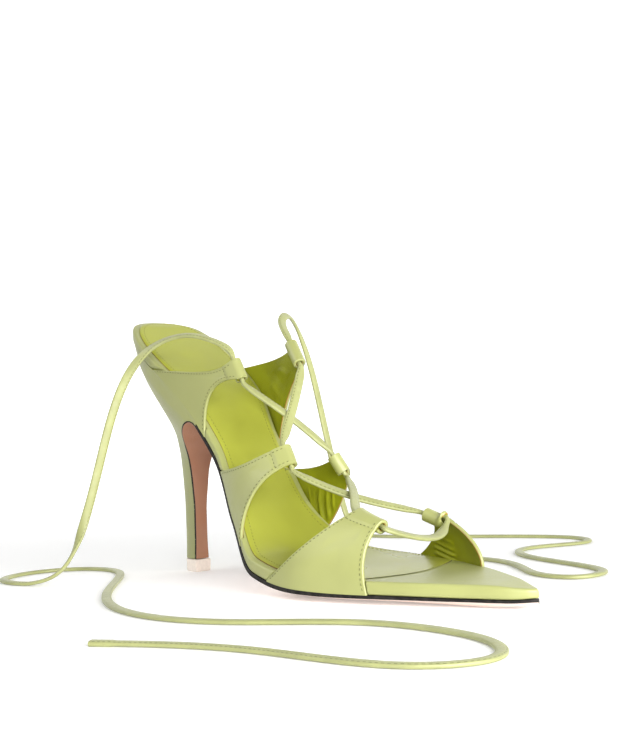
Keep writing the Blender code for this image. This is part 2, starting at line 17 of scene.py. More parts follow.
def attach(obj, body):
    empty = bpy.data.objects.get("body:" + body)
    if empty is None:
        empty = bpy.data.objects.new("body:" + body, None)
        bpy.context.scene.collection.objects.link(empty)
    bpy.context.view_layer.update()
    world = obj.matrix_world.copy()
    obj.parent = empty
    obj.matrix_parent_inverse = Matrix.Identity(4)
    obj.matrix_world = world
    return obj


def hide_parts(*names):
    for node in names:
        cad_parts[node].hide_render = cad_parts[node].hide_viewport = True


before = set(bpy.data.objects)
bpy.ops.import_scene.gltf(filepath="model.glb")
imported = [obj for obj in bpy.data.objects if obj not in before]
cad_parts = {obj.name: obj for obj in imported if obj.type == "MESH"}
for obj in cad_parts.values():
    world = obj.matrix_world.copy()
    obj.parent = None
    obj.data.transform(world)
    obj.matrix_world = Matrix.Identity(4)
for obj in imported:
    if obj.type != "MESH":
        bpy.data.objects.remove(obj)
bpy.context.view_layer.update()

bl_info = {
    "name": "High Heel Sandal",
    "version": (1, 0, 0),
    "blender": (4, 5, 0),
    "location": "3D View > Sidebar > Sandal",
    "description": "Builds the looks of a laced satin sandal on a slim heel",
    "category": "Object",
}

MM = 0.001
MERGE = 0.00002          # points closer than this are one
# How finely the pieces are cut
SOLE_SPACING, INSOLE_SPACING, SOCK_SPACING, SOCK_ACROSS = 1.6, 0.45, 1.2, 45
FOLD_STEPS, BREAST_STEPS, HEEL_LEVELS, HEEL_STEPS = 22, 46, 70, 26
SEAT_GAP = 0.5           # between the board and what lies on it

# Last: one row for each section across the foot
SECTION_COLUMNS = ("x", "seat_z", "lateral", "medial", "centre", "lean", "instep")
SECTIONS = (
    (-27.5, 120.4, 26.0, 26.2, 0.0, 30.0, 72.0),
    (-20.0, 117.2, 26.0, 26.2, 0.0, 32.0, 72.0),
    (-14.0, 113.2, 26.0, 26.2, 0.0, 34.0, 72.0),
    (4.0, 100.6, 26.0, 26.2, 0.0, 36.0, 70.0),
    (26.0, 83.5, 24.2, 25.0, 0.0, 42.0, 64.0),
    (48.0, 58.2, 22.2, 18.8, 0.0, 46.0, 54.0),
    (70.0, 29.4, 29.0, 16.6, 0.0, 42.0, 44.0),
    (92.0, 9.3, 36.8, 28.4, -0.1, 26.0, 39.0),
    (115.0, 5.1, 38.2, 39.8, -0.4, 10.0, 36.5),
    (140.0, 4.0, 32.6, 37.6, -0.9, 4.0, 34.0),
    (165.0, 3.9, 23.8, 27.9, -1.4, 2.0, 28.0),
    (190.0, 3.7, 13.5, 14.7, -1.8, 0.0, 22.0),
    (205.0, 3.7, 7.0, 5.6, -2.0, 0.0, 19.0),
    (213.0, 4.2, 1.5, 0.8, -2.1, 0.0, 18.0),
)
HEEL_END, TOE_END = SECTIONS[0][0], SECTIONS[-1][0]
HEEL_ROUND_FROM, HEEL_ROUND_POWER = 4.0, 2.35
TOE_ROUND = 2.4          # over which the toe's tip closes
LEAST_HALF = 0.25
GIRTH_POWER = 2.3        # how squarely a section closes over the foot
FOLLOW = 7.0             # how far a wing follows the outline as it rises

# Sole
INSOLE_THICK = 5.0
TOE_THIN_FROM, TOE_THIN, TOE_CURVE = 196.0, 1.9, 1.6
# The wrapped edge from underneath to the top: set in by, part of the height
INSOLE_RIM = ((6.0, 0.0), (1.1, 0.0), (0.3, 0.05), (0.0, 0.17), (0.0, 0.34), (0.0, 0.52), (0.0, 0.70),
              (0.1, 0.84), (0.35, 0.94), (0.8, 0.99), (1.5, 1.0))
WRAP_SWELL = 0.4         # padding under the insole's satin
SOCK_THICK, SOCK_FRONT, SOCK_INSET = 0.9, 153.0, 3.4
SOCK_ROUND, SOCK_STITCH, SOCK_PARED = 1.8, 2.3, 40.0   # rounded border, its stitching, thinned front
SOCK_BOW, SOCK_SEWN = 24.0, 25.0   # behind the front: where its bowed edge starts, and the stitching ends
SOCK_MARGIN = ((40.0, 0.0), (60.0, 1.3), (105.0, 1.3), (128.0, 0.0))   # more bare rim on the medial side
SOCK_BEND, SOCK_BEND_Y, SOCK_BEND_FROM, SOCK_BEND_OVER = 0.0115, -5.0, 60.0, 90.0
OUTSOLE_SHANK, OUTSOLE_EDGE, OUTSOLE_TOE_EDGE = 2.0, 1.7, 0.9
OUTSOLE_CAMBER, CAMBER_FROM, CAMBER_OVER, CAMBER_LEAST = 15.0, 74.0, 36.0, 0.08
SHANK_BLEND = 36.0
INK_TURN = 0.4           # ink carried round on to the underside
SOLE_UNDER = 8           # points across the underside, between the two sides
INK_LATERAL, INK_MEDIAL = 3, SOLE_UNDER + 14   # columns of a sole ring between which no ink lies
TREAD_FROM, TREAD_TO, TOE_SPRING = 112.0, 190.0, 2.3
FLAP_THICK, FLAP_EDGE, FLAP_ROUND = 1.3, 0.7, 0.4
FOLD_CORNER = (31.3, 75.0)   # where breast and shank would meet if the fold were sharp
FOLD_ROW, FOLD_SHANK = 0.8, 37.5

# Heel: a row runs from a point on the breast leather to a point on the back
HEEL_COLUMNS = ("front_x", "front_z", "half", "back_x", "back_z", "seat")
HEEL_ROWS = (
    (28.8, 73.8, 21.8, -24.4, 112.0, 0.80),
    (23.8, 71.2, 19.2, -21.8, 104.0, 0.54),
    (18.2, 68.0, 15.8, -18.0, 96.0, 0.32),
    (13.0, 64.8, 12.2, -14.6, 87.5, 0.16),
    (9.4, 61.4, 9.4, -11.6, 79.0, 0.06),
    (7.4, 56.5, 7.0, -9.0, 69.0, 0.01),
    (6.6, 49.0, 5.3, -7.2, 57.0, 0.0),
    (6.3, 41.0, 4.4, -6.5, 45.5, 0.0),
    (5.8, 30.0, 3.5, -6.2, 31.5, 0.0),
    (5.5, 18.0, 3.5, -6.2, 18.5, 0.0),
    (5.3, 6.4, 3.9, -6.5, 6.4, 0.0),
)
HEEL_D_POWER, HEEL_INSET, HEEL_TOP_FRONT = 0.8, 0.4, 30.4
LIFT_FRONT, LIFT_BACK, LIFT_HALF = 5.6, -6.7, 4.4
# The top lift from its tread up: height, how much wider all round
LIFT_PROFILE = ((0.0, -0.6), (0.12, -0.32), (0.4, -0.16), (1.0, -0.12), (3.5, -0.05), (5.6, 0.0),
                (6.0, -0.06), (6.1, -0.25))

# Wings: stations of the rear and front edge at the base, half way up and at the tab
WING_COLUMNS = ("name", "side", "rear_base", "rear_mid", "rear_tab", "front_base", "front_mid",
                "front_tab", "rear_rise", "front_rise")
WING_ROWS = (
    ("quarter_lateral", -1, 6.5, 27.0, 35.0, 42.0, 35.5, 40.7, 35.5, 33.5),
    ("quarter_medial", 1, 6.5, 24.6, 33.8, 47.0, 40.5, 41.6, 44.0, 44.5),
    ("waist_lateral", -1, 54.0, 61.5, 66.8, 79.5, 72.8, 74.2, 37.8, 36.8),
    ("waist_medial", 1, 55.0, 64.0, 71.2, 77.5, 77.5, 78.2, 37.2, 35.8),
    ("vamp_lateral", -1, 102.2, 118.6, 136.0, 152.6, 150.2, 150.6, 30.6, 26.0),
    ("vamp_medial", 1, 108.0, 125.0, 131.5, 160.5, 160.0, 141.4, 26.6, 23.4),
)
WINGS = {row[0]: dict(zip(WING_COLUMNS, row)) for row in WING_ROWS}
WING_THICK = 1.5
HEM_DROP = 0.45          # how far a wing's foot goes below its base
HEM_FROM, HEM_OVER = 8.0, 20.0   # where a quarter's foot leaves for the fold, and over what length
HEM_CLEAR, HEM_RISE, HEM_PAST = 0.9, 0.7, 4.0   # above the fold's face, and more past the heel's front
HEM_PROUD = 0.08         # outside the heel's cover
RECESS_CLEAR, RECESS_RAMP, QUARTER_RAMP = 0.1, 0.6, 3.0   # of the insole's edge round a wing
LOOP_FADE = 12           # creases die out over this part of the rise below a loop
LOOP_RADIUS, LOOP_TURN = 2.2, math.radians(285.0)
TAB_SEAM = {"quarter": 0.85, "waist": 0.87, "vamp": 0.91}   # where a tab is sewn down
SEAM_DEPTH, TAB_STEP = 0.22, 0.22   # its furrow, and the doubled cloth above
SEAM_HALF, TAB_STEP_OVER = 0.018, 0.03   # parts of the rise that they take
# Creases of a wing's layer: from (across, up) to (across, up), half width, height
CREASES = {
    ("waist_medial", "lining"): (
        (0.80, 0.01, 0.32, 0.20, 0.022, -0.45),
        (0.86, 0.03, 0.42, 0.29, 0.020, 0.45),
        (0.90, 0.04, 0.45, 0.36, 0.022, -0.65),
        (0.94, 0.07, 0.53, 0.40, 0.020, 0.45),
        (0.96, 0.12, 0.56, 0.46, 0.022, -0.65),
        (0.95, 0.20, 0.64, 0.49, 0.020, 0.40),
        (0.93, 0.28, 0.62, 0.56, 0.022, -0.55),
    ),
    ("vamp_medial", "lining"): (
        (0.10, 0.58, 0.44, 0.49, 0.026, -0.35),
        (0.06, 0.48, 0.46, 0.36, 0.024, -0.45),
        (0.08, 0.43, 0.50, 0.31, 0.022, 0.35),
        (0.10, 0.38, 0.52, 0.26, 0.022, -0.55),
        (0.13, 0.33, 0.55, 0.21, 0.022, 0.35),
        (0.16, 0.28, 0.58, 0.16, 0.022, -0.55),
        (0.19, 0.22, 0.60, 0.11, 0.022, 0.35),
        (0.24, 0.17, 0.66, 0.05, 0.022, -0.50),
    ),
    ("quarter_medial", "lining"): (
        (0.30, 0.52, 0.72, 0.66, 0.050, -0.35),
        (0.28, 0.40, 0.80, 0.50, 0.050, 0.30),
        (0.45, 0.28, 0.90, 0.36, 0.045, -0.30),
    ),
    ("quarter_lateral", "both"): (
        (0.30, 0.66, 0.72, 0.80, 0.080, -0.25),
    ),
    ("waist_lateral", "both"): (
        (0.25, 0.62, 0.80, 0.78, 0.080, -0.22),
    ),
    ("vamp_lateral", "both"): (
        (0.30, 0.60, 0.75, 0.80, 0.090, -0.22),
        (0.15, 0.30, 0.60, 0.55, 0.120, 0.20),
    ),
}

# Lace
LACE_CLEAR, LACE_STEM, END_STEM = 0.9, 1.2, 5.0
LACE_OVER = Vector((0.45, 0.0, 0.78))
FRONT_MEET, INSTEP_MEET = (118.0, -2.0, 39.8), (82.0, -4.0, 74.2)
TOE_BAR_REACH, TOE_BAR_TURN = (6.0, 0.0, -6.0), (1.6, -1.8, -2.6)
LACE_SIDES, LACE_SPACING, END_SPACING = 20, 1.0, 1.5
LACE_LEAN = 0.75         # how far the strands over the instep face forward
LEAN_FROM, LEAN_OVER = 10.0, 30.0   # heights over which they turn to it
OPEN_FROM, OPEN_OVER = 6.0, 8.0     # from a loop's middle, where the bunched lace opens out
TIP_LONG, TIP_WIDER, TIP_THICKER = 9.0, 0.35, 0.3
FLOOR_CLEAR, LACE_REST = 0.1, 0.9
# From one loop's mouth to another's, by way of a meeting point, over (1) or under (-1)
LACING = (
    ("quarter_lateral", "front", "waist_medial", "rear", INSTEP_MEET, -1),
    ("waist_medial", "front", "vamp_lateral", "rear", FRONT_MEET, 1),
    ("vamp_lateral", "front", "vamp_medial", "front", None, 0),
    ("vamp_medial", "rear", "waist_lateral", "front", FRONT_MEET, -1),
    ("waist_lateral", "rear", "quarter_medial", "front", INSTEP_MEET, 1),
)
# The two free ends: places in the air, then places on the floor
LATERAL_END = (
    (45.0, -20.5, 111.0), (33.0, -24.5, 113.5), (19.0, -31.0, 110.5), (8.0, -38.0, 100.0),
    (1.0, -45.0, 80.0), (-4.0, -51.0, 54.0), (-9.0, -58.0, 26.0), (-16.0, -67.0, 6.0), (-30.0, -78.0),
    (-53.0, -77.0), (-66.0, -57.0), (-58.0, -34.0), (-34.0, -27.0), (-9.0, -39.0), (17.0, -59.0),
    (44.0, -78.0), (74.0, -92.0), (106.0, -96.0), (136.0, -88.0), (160.0, -72.0), (184.0, -58.0),
    (212.0, -54.0), (240.0, -60.0), (256.0, -78.0), (246.0, -98.0), (218.0, -108.0), (188.0, -113.0),
    (160.0, -123.0), (134.0, -138.0),
)
MEDIAL_END = (
    (50.0, 20.0, 119.0), (44.0, 28.0, 123.0), (37.0, 40.0, 118.0), (34.0, 50.0, 101.0),
    (34.0, 57.0, 74.0), (36.0, 63.0, 42.0), (40.0, 69.0, 15.0), (48.0, 77.0, 2.0), (66.0, 89.0),
    (92.0, 97.0), (119.0, 93.0), (141.0, 79.0), (160.0, 67.0), (177.0, 69.0), (178.0, 86.0),
    (160.0, 99.0), (133.0, 108.0), (107.0, 120.0), (93.0, 139.0), (97.0, 160.0), (102.0, 179.0),
    (88.0, 193.0), (62.0, 191.0), (36.0, 180.0), (10.0, 167.0), (-18.0, 155.0), (-47.0, 151.0),
    (-74.0, 158.0), (-96.0, 174.0), (-110.0, 196.0), (-116.0, 221.0),
)

# Camera: place, its right and its up, in the part's frame
CAMERA_PLACE = (0.47888, -0.33634, 0.07063)
CAMERA_RIGHT = (0.65508, 0.75423, -0.04480)
CAMERA_UP = (0.05995, 0.00723, 0.99818)
CAMERA_LENS = 56.12
# Lamps: name, place, size and power
LAMPS = (
    ("toe_side", (2.06, 0.05, 0.5), 1.1, 42.0),
    ("camera_side", (0.75, -0.35, 0.25), 0.4, 6.5),
    ("heel_side", (-1.33, -0.82, 1.2), 1.1, 7.0),
    ("lateral_side", (-0.73, -1.42, 1.2), 1.1, 6.5),
)
LAMP_TARGET = (0.09, 0.0, 0.05)
# Floor, in metres: where it turns up behind the shoe, its radius, its two ends and half its width
SWEEP_FROM, SWEEP_ROUND, SWEEP_START, SWEEP_STOP, SWEEP_WIDE = 0.9, 0.6, -6.0, 4.0, 6.0


def length_of(name, description, default):
    return FloatProperty(name=name, description=description, default=default, min=0.0,
                         subtype="DISTANCE", unit="LENGTH")


def colour_of(name, description, default):
    return FloatVectorProperty(name=name, description=description, default=default, min=0.0, max=1.0,
                               size=3, subtype="COLOR")


class SandalSizes(bpy.types.PropertyGroup):
    """Sizes of the trim"""
    edge_round: length_of("Edge rounding", "How far a wing's folded edge rounds out", 0.0005)
    stitch_pitch: length_of("Stitch pitch", "From one stitch to the next", 0.0019)
    stitch_length: length_of("Stitch length", "Thread that shows in one stitch", 0.0012)
    stitch_width: length_of("Stitch width", "Thickness of the thread", 0.00042)
    stitch_inset: length_of("Stitch inset", "From a wing's edge to its stitching", 0.0014)
    lace_width: length_of("Lace width", "Width of the flat lace", 0.0042)
    lace_thickness: length_of("Lace thickness", "Thickness of the flat lace", 0.0018)
    lace_bunched: length_of("Bunched lace", "Width of the lace inside a loop", 0.0020)


class SandalLooks(bpy.types.PropertyGroup):
    """Colours of the finishes"""
    satin: colour_of("Satin", "Cloth of the wings, insole and heel", (0.352, 0.368, 0.128))
    lace: colour_of("Lace", "Satin tube of the lace", (0.34, 0.355, 0.145))
    lining: colour_of("Lining", "Leather inside the wings", (0.29, 0.31, 0.010))
    sock: colour_of("Sock", "Leather sock on the insole", (0.33, 0.345, 0.045))
    lining_edge: colour_of("Lining edge", "Cut edge of the wings' lining", (0.46, 0.22, 0.07))
    sock_edge: colour_of("Sock edge", "Cut edge of the sock", (0.20, 0.11, 0.035))
    sock_front: colour_of("Sock front", "Cut edge across the toes", (0.11, 0.10, 0.045))
    sole: colour_of("Sole", "Leather of the sole", (0.95, 0.775, 0.69))
    breast: colour_of("Heel breast", "Leather down the heel breast", (0.39, 0.175, 0.093))
    ink: colour_of("Edge ink", "Ink on the sole's edge", (0.012, 0.011, 0.010))
    lift: colour_of("Top lift", "Walking piece under the heel", (0.93, 0.83, 0.74))
    thread: colour_of("Thread", "Thread of the wings' stitching", (0.15, 0.16, 0.045))
    sock_thread: colour_of("Sock thread", "Thread round the sock", (0.20, 0.21, 0.02))


def sizes():
    return bpy.context.scene.sandal_sizes


def looks():
    return bpy.context.scene.sandal_looks


def share(value, start, length):
    """How far a value is through a length, kept between 0 and 1."""
    return min(max((value - start) / length, 0.0), 1.0)


def ease(t):
    return t * t * (3 - 2 * t)


def smooth(knots, values, at):
    """Read a table along a curve that never overshoots its rows."""
    knots = np.asarray(knots, float)
    values = np.asarray(values, float)
    step = np.diff(knots)
    rise = np.diff(values) / step
    slope = np.empty(len(knots))
    slope[0], slope[-1] = rise[0], rise[-1]
    same_way = rise[:-1] * rise[1:] > 0
    before = np.where(same_way, rise[:-1], 1.0)
    after = np.where(same_way, rise[1:], 1.0)
    weight_a = 2 * step[1:] + step[:-1]
    weight_b = step[1:] + 2 * step[:-1]
    mean = (weight_a + weight_b) / (weight_a / before + weight_b / after)
    slope[1:-1] = np.where(same_way, mean, 0.0)
    at = np.clip(at, knots[0], knots[-1])
    i = np.clip(np.searchsorted(knots, at) - 1, 0, len(knots) - 2)
    t = (at - knots[i]) / step[i]
    return (values[i] * (1 + 2 * t) * (1 - t) ** 2 + values[i + 1] * t * t * (3 - 2 * t)
            + step[i] * (slope[i] * t * (1 - t) ** 2 - slope[i + 1] * t * t * (1 - t)))


FINE_X = np.linspace(HEEL_END, TOE_END, 4001)
LAST = {name: smooth([row[0] for row in SECTIONS], [row[i] for row in SECTIONS], FINE_X)
        for i, name in enumerate(SECTION_COLUMNS)}


def last(column, x):
    return float(np.interp(x, FINE_X, LAST[column]))


def half_width(x, side):
    """Distance from the centre line to the edge on one side (-1 lateral, 1 medial)."""
    plain = last("lateral" if side < 0 else "medial", x)
    reach = share(HEEL_ROUND_FROM, x, HEEL_ROUND_FROM - HEEL_END)
    return plain * (1.0 - reach ** HEEL_ROUND_POWER) ** (1.0 / HEEL_ROUND_POWER)


def edge_y(x, side, inset=0.0):
    half = half_width(x, side) - inset
    tip = share(x, TOE_END - TOE_ROUND, TOE_ROUND)
    return last("centre", x) + side * max(half * math.sqrt(1.0 - tip * tip), LEAST_HALF)


def insole_top(x):
    thinner = TOE_THIN * share(x, TOE_THIN_FROM, TOE_END - TOE_THIN_FROM) ** TOE_CURVE
    return last("seat_z", x) + INSOLE_THICK - thinner


def rim_point(x, side, inset):
    """A place set in from the outline, square to it in plan."""
    if x <= HEEL_END:
        return x + inset, last("centre", x)
    low, high = max(x - 0.2, HEEL_END), min(x + 0.2, TOE_END)
    slope = (edge_y(high, side) - edge_y(low, side)) / (high - low)
    inset = min(inset, 0.6 * half_width(x, side) + 0.4) if x > 0 else inset
    length = math.hypot(1.0, slope)
    return x + side * slope / length * inset, edge_y(x, side) - side / length * inset


def stations(start, stop, spacing):
    """Places along the shoe, closer together where the heel and the toe close."""
    places = list(np.linspace(start, stop, int(round((stop - start) / spacing)) + 1))
    if start == HEEL_END:
        closing = HEEL_ROUND_FROM - HEEL_END
        turns = np.linspace(0.0, 1.0, 34) ** 1.25 * math.pi / 2
        places = [HEEL_ROUND_FROM - closing * math.cos(t) for t in turns] \
            + [x for x in places if x > HEEL_ROUND_FROM + spacing / 2]
    if stop == TOE_END:
        closing = [TOE_END - TOE_ROUND * (1 - math.sin(t)) for t in np.linspace(0.0, math.pi / 2, 9)]
        places = [x for x in places if x < TOE_END - TOE_ROUND - spacing / 2] + closing
    return places


def last_point(station, rise, side):
    """A point of the upper: so far up the section at a station, on the wing's middle layer."""
    lean = math.radians(last("lean", station))
    follow = station + FOLLOW * (1.0 - math.exp(-rise / FOLLOW)) * math.sin(lean)
    wide = half_width(follow, side) - WING_THICK / 2
    closing = (rise / last("instep", station)) ** GIRTH_POWER
    y = last("centre", follow) + side * wide * max(1.0 - closing, 0.0) ** (1.0 / GIRTH_POWER)
    z = last("seat_z", station) + SEAT_GAP + rise * math.cos(lean)
    return Vector((station + rise * math.sin(lean), y, z))


def through(base, mid, tab, up):
    """A curve through three stations, read at a height between base (0) and tab (1)."""
    return base * (1 - up) * (1 - 2 * up) + mid * 4 * up * (1 - up) + tab * up * (2 * up - 1)


def wing_edges(wing, up):
    return (through(wing["rear_base"], wing["rear_mid"], wing["rear_tab"], up),
            through(wing["front_base"], wing["front_mid"], wing["front_tab"], up))


def wing_point(wing, across, up):
    rear, front = wing_edges(wing, up)
    rise = up * (wing["rear_rise"] * (1 - across) + wing["front_rise"] * across)
    return last_point(rear + across * (front - rear), rise, wing["side"])


def wing_hem(wing, across, part):
    """From a wing's base (part 1) down to its hem (0). A quarter's lies over the heel and the fold."""
    side = wing["side"]
    base = wing_point(wing, across, 0.0)
    hem = base - Vector((0.0, 0.0, HEM_DROP))
    if not wing["name"].startswith("quarter"):
        return hem.lerp(base, part)
    cover = ease(share(base.x, HEM_FROM, HEM_OVER))
    fold_wide, fold_height = fold_at(base.x, side)
    past_heel = share(base.x, HEEL_TOP_FRONT, HEM_PAST)
    clear = HEM_CLEAR + HEM_RISE * past_heel
    hem.z += (fold_height + clear - hem.z) * cover
    place = hem.lerp(base, part)
    wide = heel_side(base.x, place.z, side) * (1.0 - past_heel) + fold_wide * past_heel
    over = side * (wide - WING_THICK / 2 + HEM_PROUD)
    place.y = over + (base.y - over) * part ** 3
    return place


def heel_side(x, z, side):
    """Half width of the heel's cover at a place on its side."""
    levels = []
    for ring in heel_rings():
        chain = ring[:HEEL_STEPS + 1] if side < 0 else ring[:HEEL_STEPS - 1:-1]
        along = sorted((point[0], abs(point[1]), point[2]) for point in chain)
        xs, ys, zs = zip(*along)
        levels.append((float(np.interp(x, xs, zs)), float(np.interp(x, xs, ys))))
    levels.sort()
    return float(np.interp(z, [level[0] for level in levels], [level[1] for level in levels]))


def wing_frame(wing, across, up):
    """A place on a wing with the ways across, up and out."""
    place = wing_point(wing, across, up)
    along = (wing_point(wing, across + 0.01, up) - wing_point(wing, across - 0.01, up)).normalized()
    low, high = max(up - 0.01, 0.0), min(up + 0.01, 1.0)
    rising = (wing_point(wing, across, high) - wing_point(wing, across, low)).normalized()
    return place, along, rising, along.cross(rising).normalized() * -wing["side"]


def loop_frame(wing, across):
    """Where a wing's tab ends, the way it was heading, and the way in to the foot."""
    end = wing_point(wing, across, 1.0)
    heading = (end - wing_point(wing, across, 0.96)).normalized()
    along = (wing_point(wing, 1.0, 1.0) - wing_point(wing, 0.0, 1.0)).normalized()
    inward = heading.cross(along).normalized() * -wing["side"]
    return end, inward.cross(along).normalized() * wing["side"], inward, along


def loop_mouth(name, end):
    """Where the lace leaves a loop (rear or front end) and which way it heads."""
    place, _, inward, along = loop_frame(WINGS[name], 0.0 if end == "rear" else 1.0)
    out = -along if end == "rear" else along
    return place + LOOP_RADIUS * inward + LACE_CLEAR * out, out


def loop_middle(name):
    return (loop_mouth(name, "rear")[0] + loop_mouth(name, "front")[0]) / 2


def wing_recess(x, side, height):
    """How far the insole's edge stands back at a height so that a wing lies over it."""
    recess = 0.0
    for wing in WINGS.values():
        if wing["side"] == side:
            lean = math.radians(last("lean", x))
            rise = height * math.cos(lean)
            rear, front = wing_edges(wing, rise / wing["rear_rise"])
            station = x - rise * math.sin(lean)
            ramp = QUARTER_RAMP if wing["name"].startswith("quarter") else RECESS_RAMP
            behind, ahead = rear - RECESS_CLEAR - station, station - front - RECESS_CLEAR
            outside = max(behind / ramp, ahead / RECESS_RAMP, 0.0)
            recess = max(recess, (WING_THICK + RECESS_CLEAR) * max(0.0, 1.0 - outside))
    return recess


def natural_spline(knots, values, at):
    """Cubic spline with free ends."""
    count = len(knots)
    step = np.diff(knots)
    system = np.eye(count)
    right = np.zeros(count)
    for i in range(1, count - 1):
        system[i, i - 1:i + 2] = step[i - 1], 2 * (step[i - 1] + step[i]), step[i]
        right[i] = 6 * ((values[i + 1] - values[i]) / step[i] - (values[i] - values[i - 1]) / step[i - 1])
    bend = np.linalg.solve(system, right)
    i = np.clip(np.searchsorted(knots, at) - 1, 0, count - 2)
    a = (knots[i + 1] - at) / step[i]
    b = 1.0 - a
    return (a * values[i] + b * values[i + 1]
            + ((a ** 3 - a) * bend[i] + (b ** 3 - b) * bend[i + 1]) * step[i] ** 2 / 6)


def curve_through(points, spacing):
    """Even points along a smooth curve through a route's own points."""
    route = np.array([tuple(point) for point in points], float)
    reach = np.concatenate([[0.0], np.cumsum(np.linalg.norm(np.diff(route, axis=0), axis=1) ** 0.5)])
    fine = np.linspace(0.0, reach[-1], 60 * len(route))
    dense = np.stack([natural_spline(reach, route[:, axis], fine) for axis in range(3)], axis=1)
    run = np.concatenate([[0.0], np.cumsum(np.linalg.norm(np.diff(dense, axis=0), axis=1))])
    even = np.linspace(0.0, run[-1], int(run[-1] / spacing) + 1)
    return np.stack([np.interp(even, run, dense[:, axis]) for axis in range(3)], axis=1)


class Signal:
    """A shader value that takes part in sums written in Python."""

    def __init__(self, tree, socket):
        self.tree = tree
        self.socket = socket

    def reckon(self, operation, *values):
        node = self.tree.nodes.new("ShaderNodeMath")
        node.operation = operation
        for entry, value in zip(node.inputs, values):
            feed(self.tree, entry, value)
        return Signal(self.tree, node.outputs[0])

    def __add__(self, other):
        return self.reckon("ADD", self, other)

    def __sub__(self, other):
        return self.reckon("SUBTRACT", self, other)

    def __mul__(self, other):
        return self.reckon("MULTIPLY", self, other)

    def __abs__(self):
        return self.reckon("ABSOLUTE", self)

    def __mod__(self, other):
        return self.reckon("FLOORED_MODULO", self, other)


def feed(tree, entry, value):
    """Link a signal to a socket, or set the socket's own value."""
    if isinstance(value, Signal):
        tree.links.new(value.socket, entry)
    elif hasattr(value, "__len__") and len(value) == 3 and len(entry.default_value) == 4:
        entry.default_value = (*value, 1.0)
    else:
        entry.default_value = value


class Finish:
    """A material in the making: one shader and the nodes that feed it."""

    def __init__(self, name, colour, roughness, **sockets):
        self.material = bpy.data.materials.new(name)
        self.material.use_nodes = True
        self.tree = self.material.node_tree
        self.shader = self.tree.nodes["Principled BSDF"]
        self.set("Base Color", tuple(colour))
        self.set("Roughness", roughness)
        for socket, value in sockets.items():
            self.set(socket.replace("_", " ").title().replace("Ior", "IOR"), value)

    def set(self, socket, value):
        feed(self.tree, self.shader.inputs[socket], value)

    def node(self, kind, settings, inputs, output=0):
        made = self.tree.nodes.new(kind)
        for name, value in settings.items():
            setattr(made, name, value)
        for name, value in inputs.items():
            feed(self.tree, made.inputs[name], value)
        return Signal(self.tree, made.outputs[output])

    def place(self):
        return self.node("ShaderNodeTexCoord", {}, {}, "Object")

    def axis(self, name):
        return self.node("ShaderNodeSeparateXYZ", {}, {"Vector": self.place()}, name)

    def surface(self):
        """Girth and length along the piece, in millimetres."""
        flat = self.node("ShaderNodeTexCoord", {}, {}, "UV")
        return [self.node("ShaderNodeSeparateXYZ", {}, {"Vector": flat}, axis) for axis in "XY"]

    def stretched(self, across, along):
        """Coordinates on the piece with each way scaled by itself."""
        girth, run = self.surface()
        return self.node("ShaderNodeCombineXYZ", {}, {"X": girth * across, "Y": run * along})

    def noise(self, where, scale, detail=3.0, roughness=0.5):
        return self.node("ShaderNodeTexNoise", {},
                         {"Vector": where, "Scale": scale, "Detail": detail, "Roughness": roughness})

    def cells(self, where, scale):
        return self.node("ShaderNodeTexVoronoi", {"feature": "DISTANCE_TO_EDGE"},
                         {"Vector": where, "Scale": scale})

    def fade(self, value, low, high, start=0.0, end=1.0):
        span = {"Value": value, "From Min": low, "From Max": high, "To Min": start, "To Max": end}
        return self.node("ShaderNodeMapRange", {"interpolation_type": "SMOOTHSTEP"}, span)

    def mix(self, factor, first, second):
        return self.node("ShaderNodeMix", {"data_type": "RGBA"}, {0: factor, 6: first, 7: second}, 2)

    def tones(self, pattern, colour, dark, light):
        """A colour that wanders between a darker and a lighter tone."""
        return self.mix(self.fade(pattern, 0.3, 0.7), toned(colour, dark), toned(colour, light))

    def bump(self, height, distance, strength, under=None):
        inputs = {"Height": height, "Distance": distance, "Strength": strength}
        if under is not None:
            inputs["Normal"] = under
        return self.node("ShaderNodeBump", {}, inputs)


def toned(colour, by):
    """A colour made lighter or darker."""
    return tuple(min(channel * by, 1.0) for channel in colour)


def material_once(make):
    """Keep one material for each of these makers."""
    def kept(name, *values):
        return bpy.data.materials.get("look_" + name) or make("look_" + name, *values).material
    return kept


@material_once
def satin_cloth(name, colour):
    """Satin: long fine floats along the cloth, a broad soft shine, faint uneven dye, and painted shade
    towards the heel with painted light towards the toe.
    """
    finish = Finish(name, colour, 0.4, specular_ior_level=0.75)
    dye = finish.noise(finish.place(), 55.0, 2.0)
    # painted shade and light: the satin's colour darkens towards the heel and brightens towards the toe,
    # as the lamps' light would fall
    along = finish.fade(finish.axis("X"), -0.02, 0.15)
    cloth = finish.mix(along, toned(colour, 0.84), toned(colour, 1.1))
    finish.set("Base Color", finish.mix(finish.fade(dye, 0.3, 0.7) * 0.12, cloth, toned(colour, 0.6)))
    floats = finish.noise(finish.stretched(4.0, 0.45), 1.0, 2.0, 0.6)
    weave = finish.noise(finish.stretched(0.9, 7.0), 1.0, 1.0)
    ripple = finish.noise(finish.place(), 130.0, 2.0)
    soft = finish.bump(ripple, 0.0006, 0.25)
    finish.set("Normal", finish.bump(floats * 0.7 + weave * 0.3, 0.00008, 0.5, soft))
    finish.set("Roughness", finish.fade(floats, 0.25, 0.75, 0.36, 0.48))
    return finish


@material_once
def lining_leather(name, colour):
    """Smooth glove leather with a fine grain."""
    finish = Finish(name, colour, 0.4, specular_ior_level=0.25)
    grain = finish.cells(finish.place(), 1500.0)
    patches = finish.noise(finish.place(), 70.0, 3.0)
    finish.set("Base Color", finish.tones(patches, colour, 0.82, 1.12))
    soft = finish.bump(patches, 0.0006, 0.3)
    finish.set("Normal", finish.bump(finish.fade(grain, 0.0, 0.12), 0.00006, 0.45, soft))
    finish.set("Roughness", finish.fade(patches, 0.2, 0.8, 0.34, 0.46))
    return finish


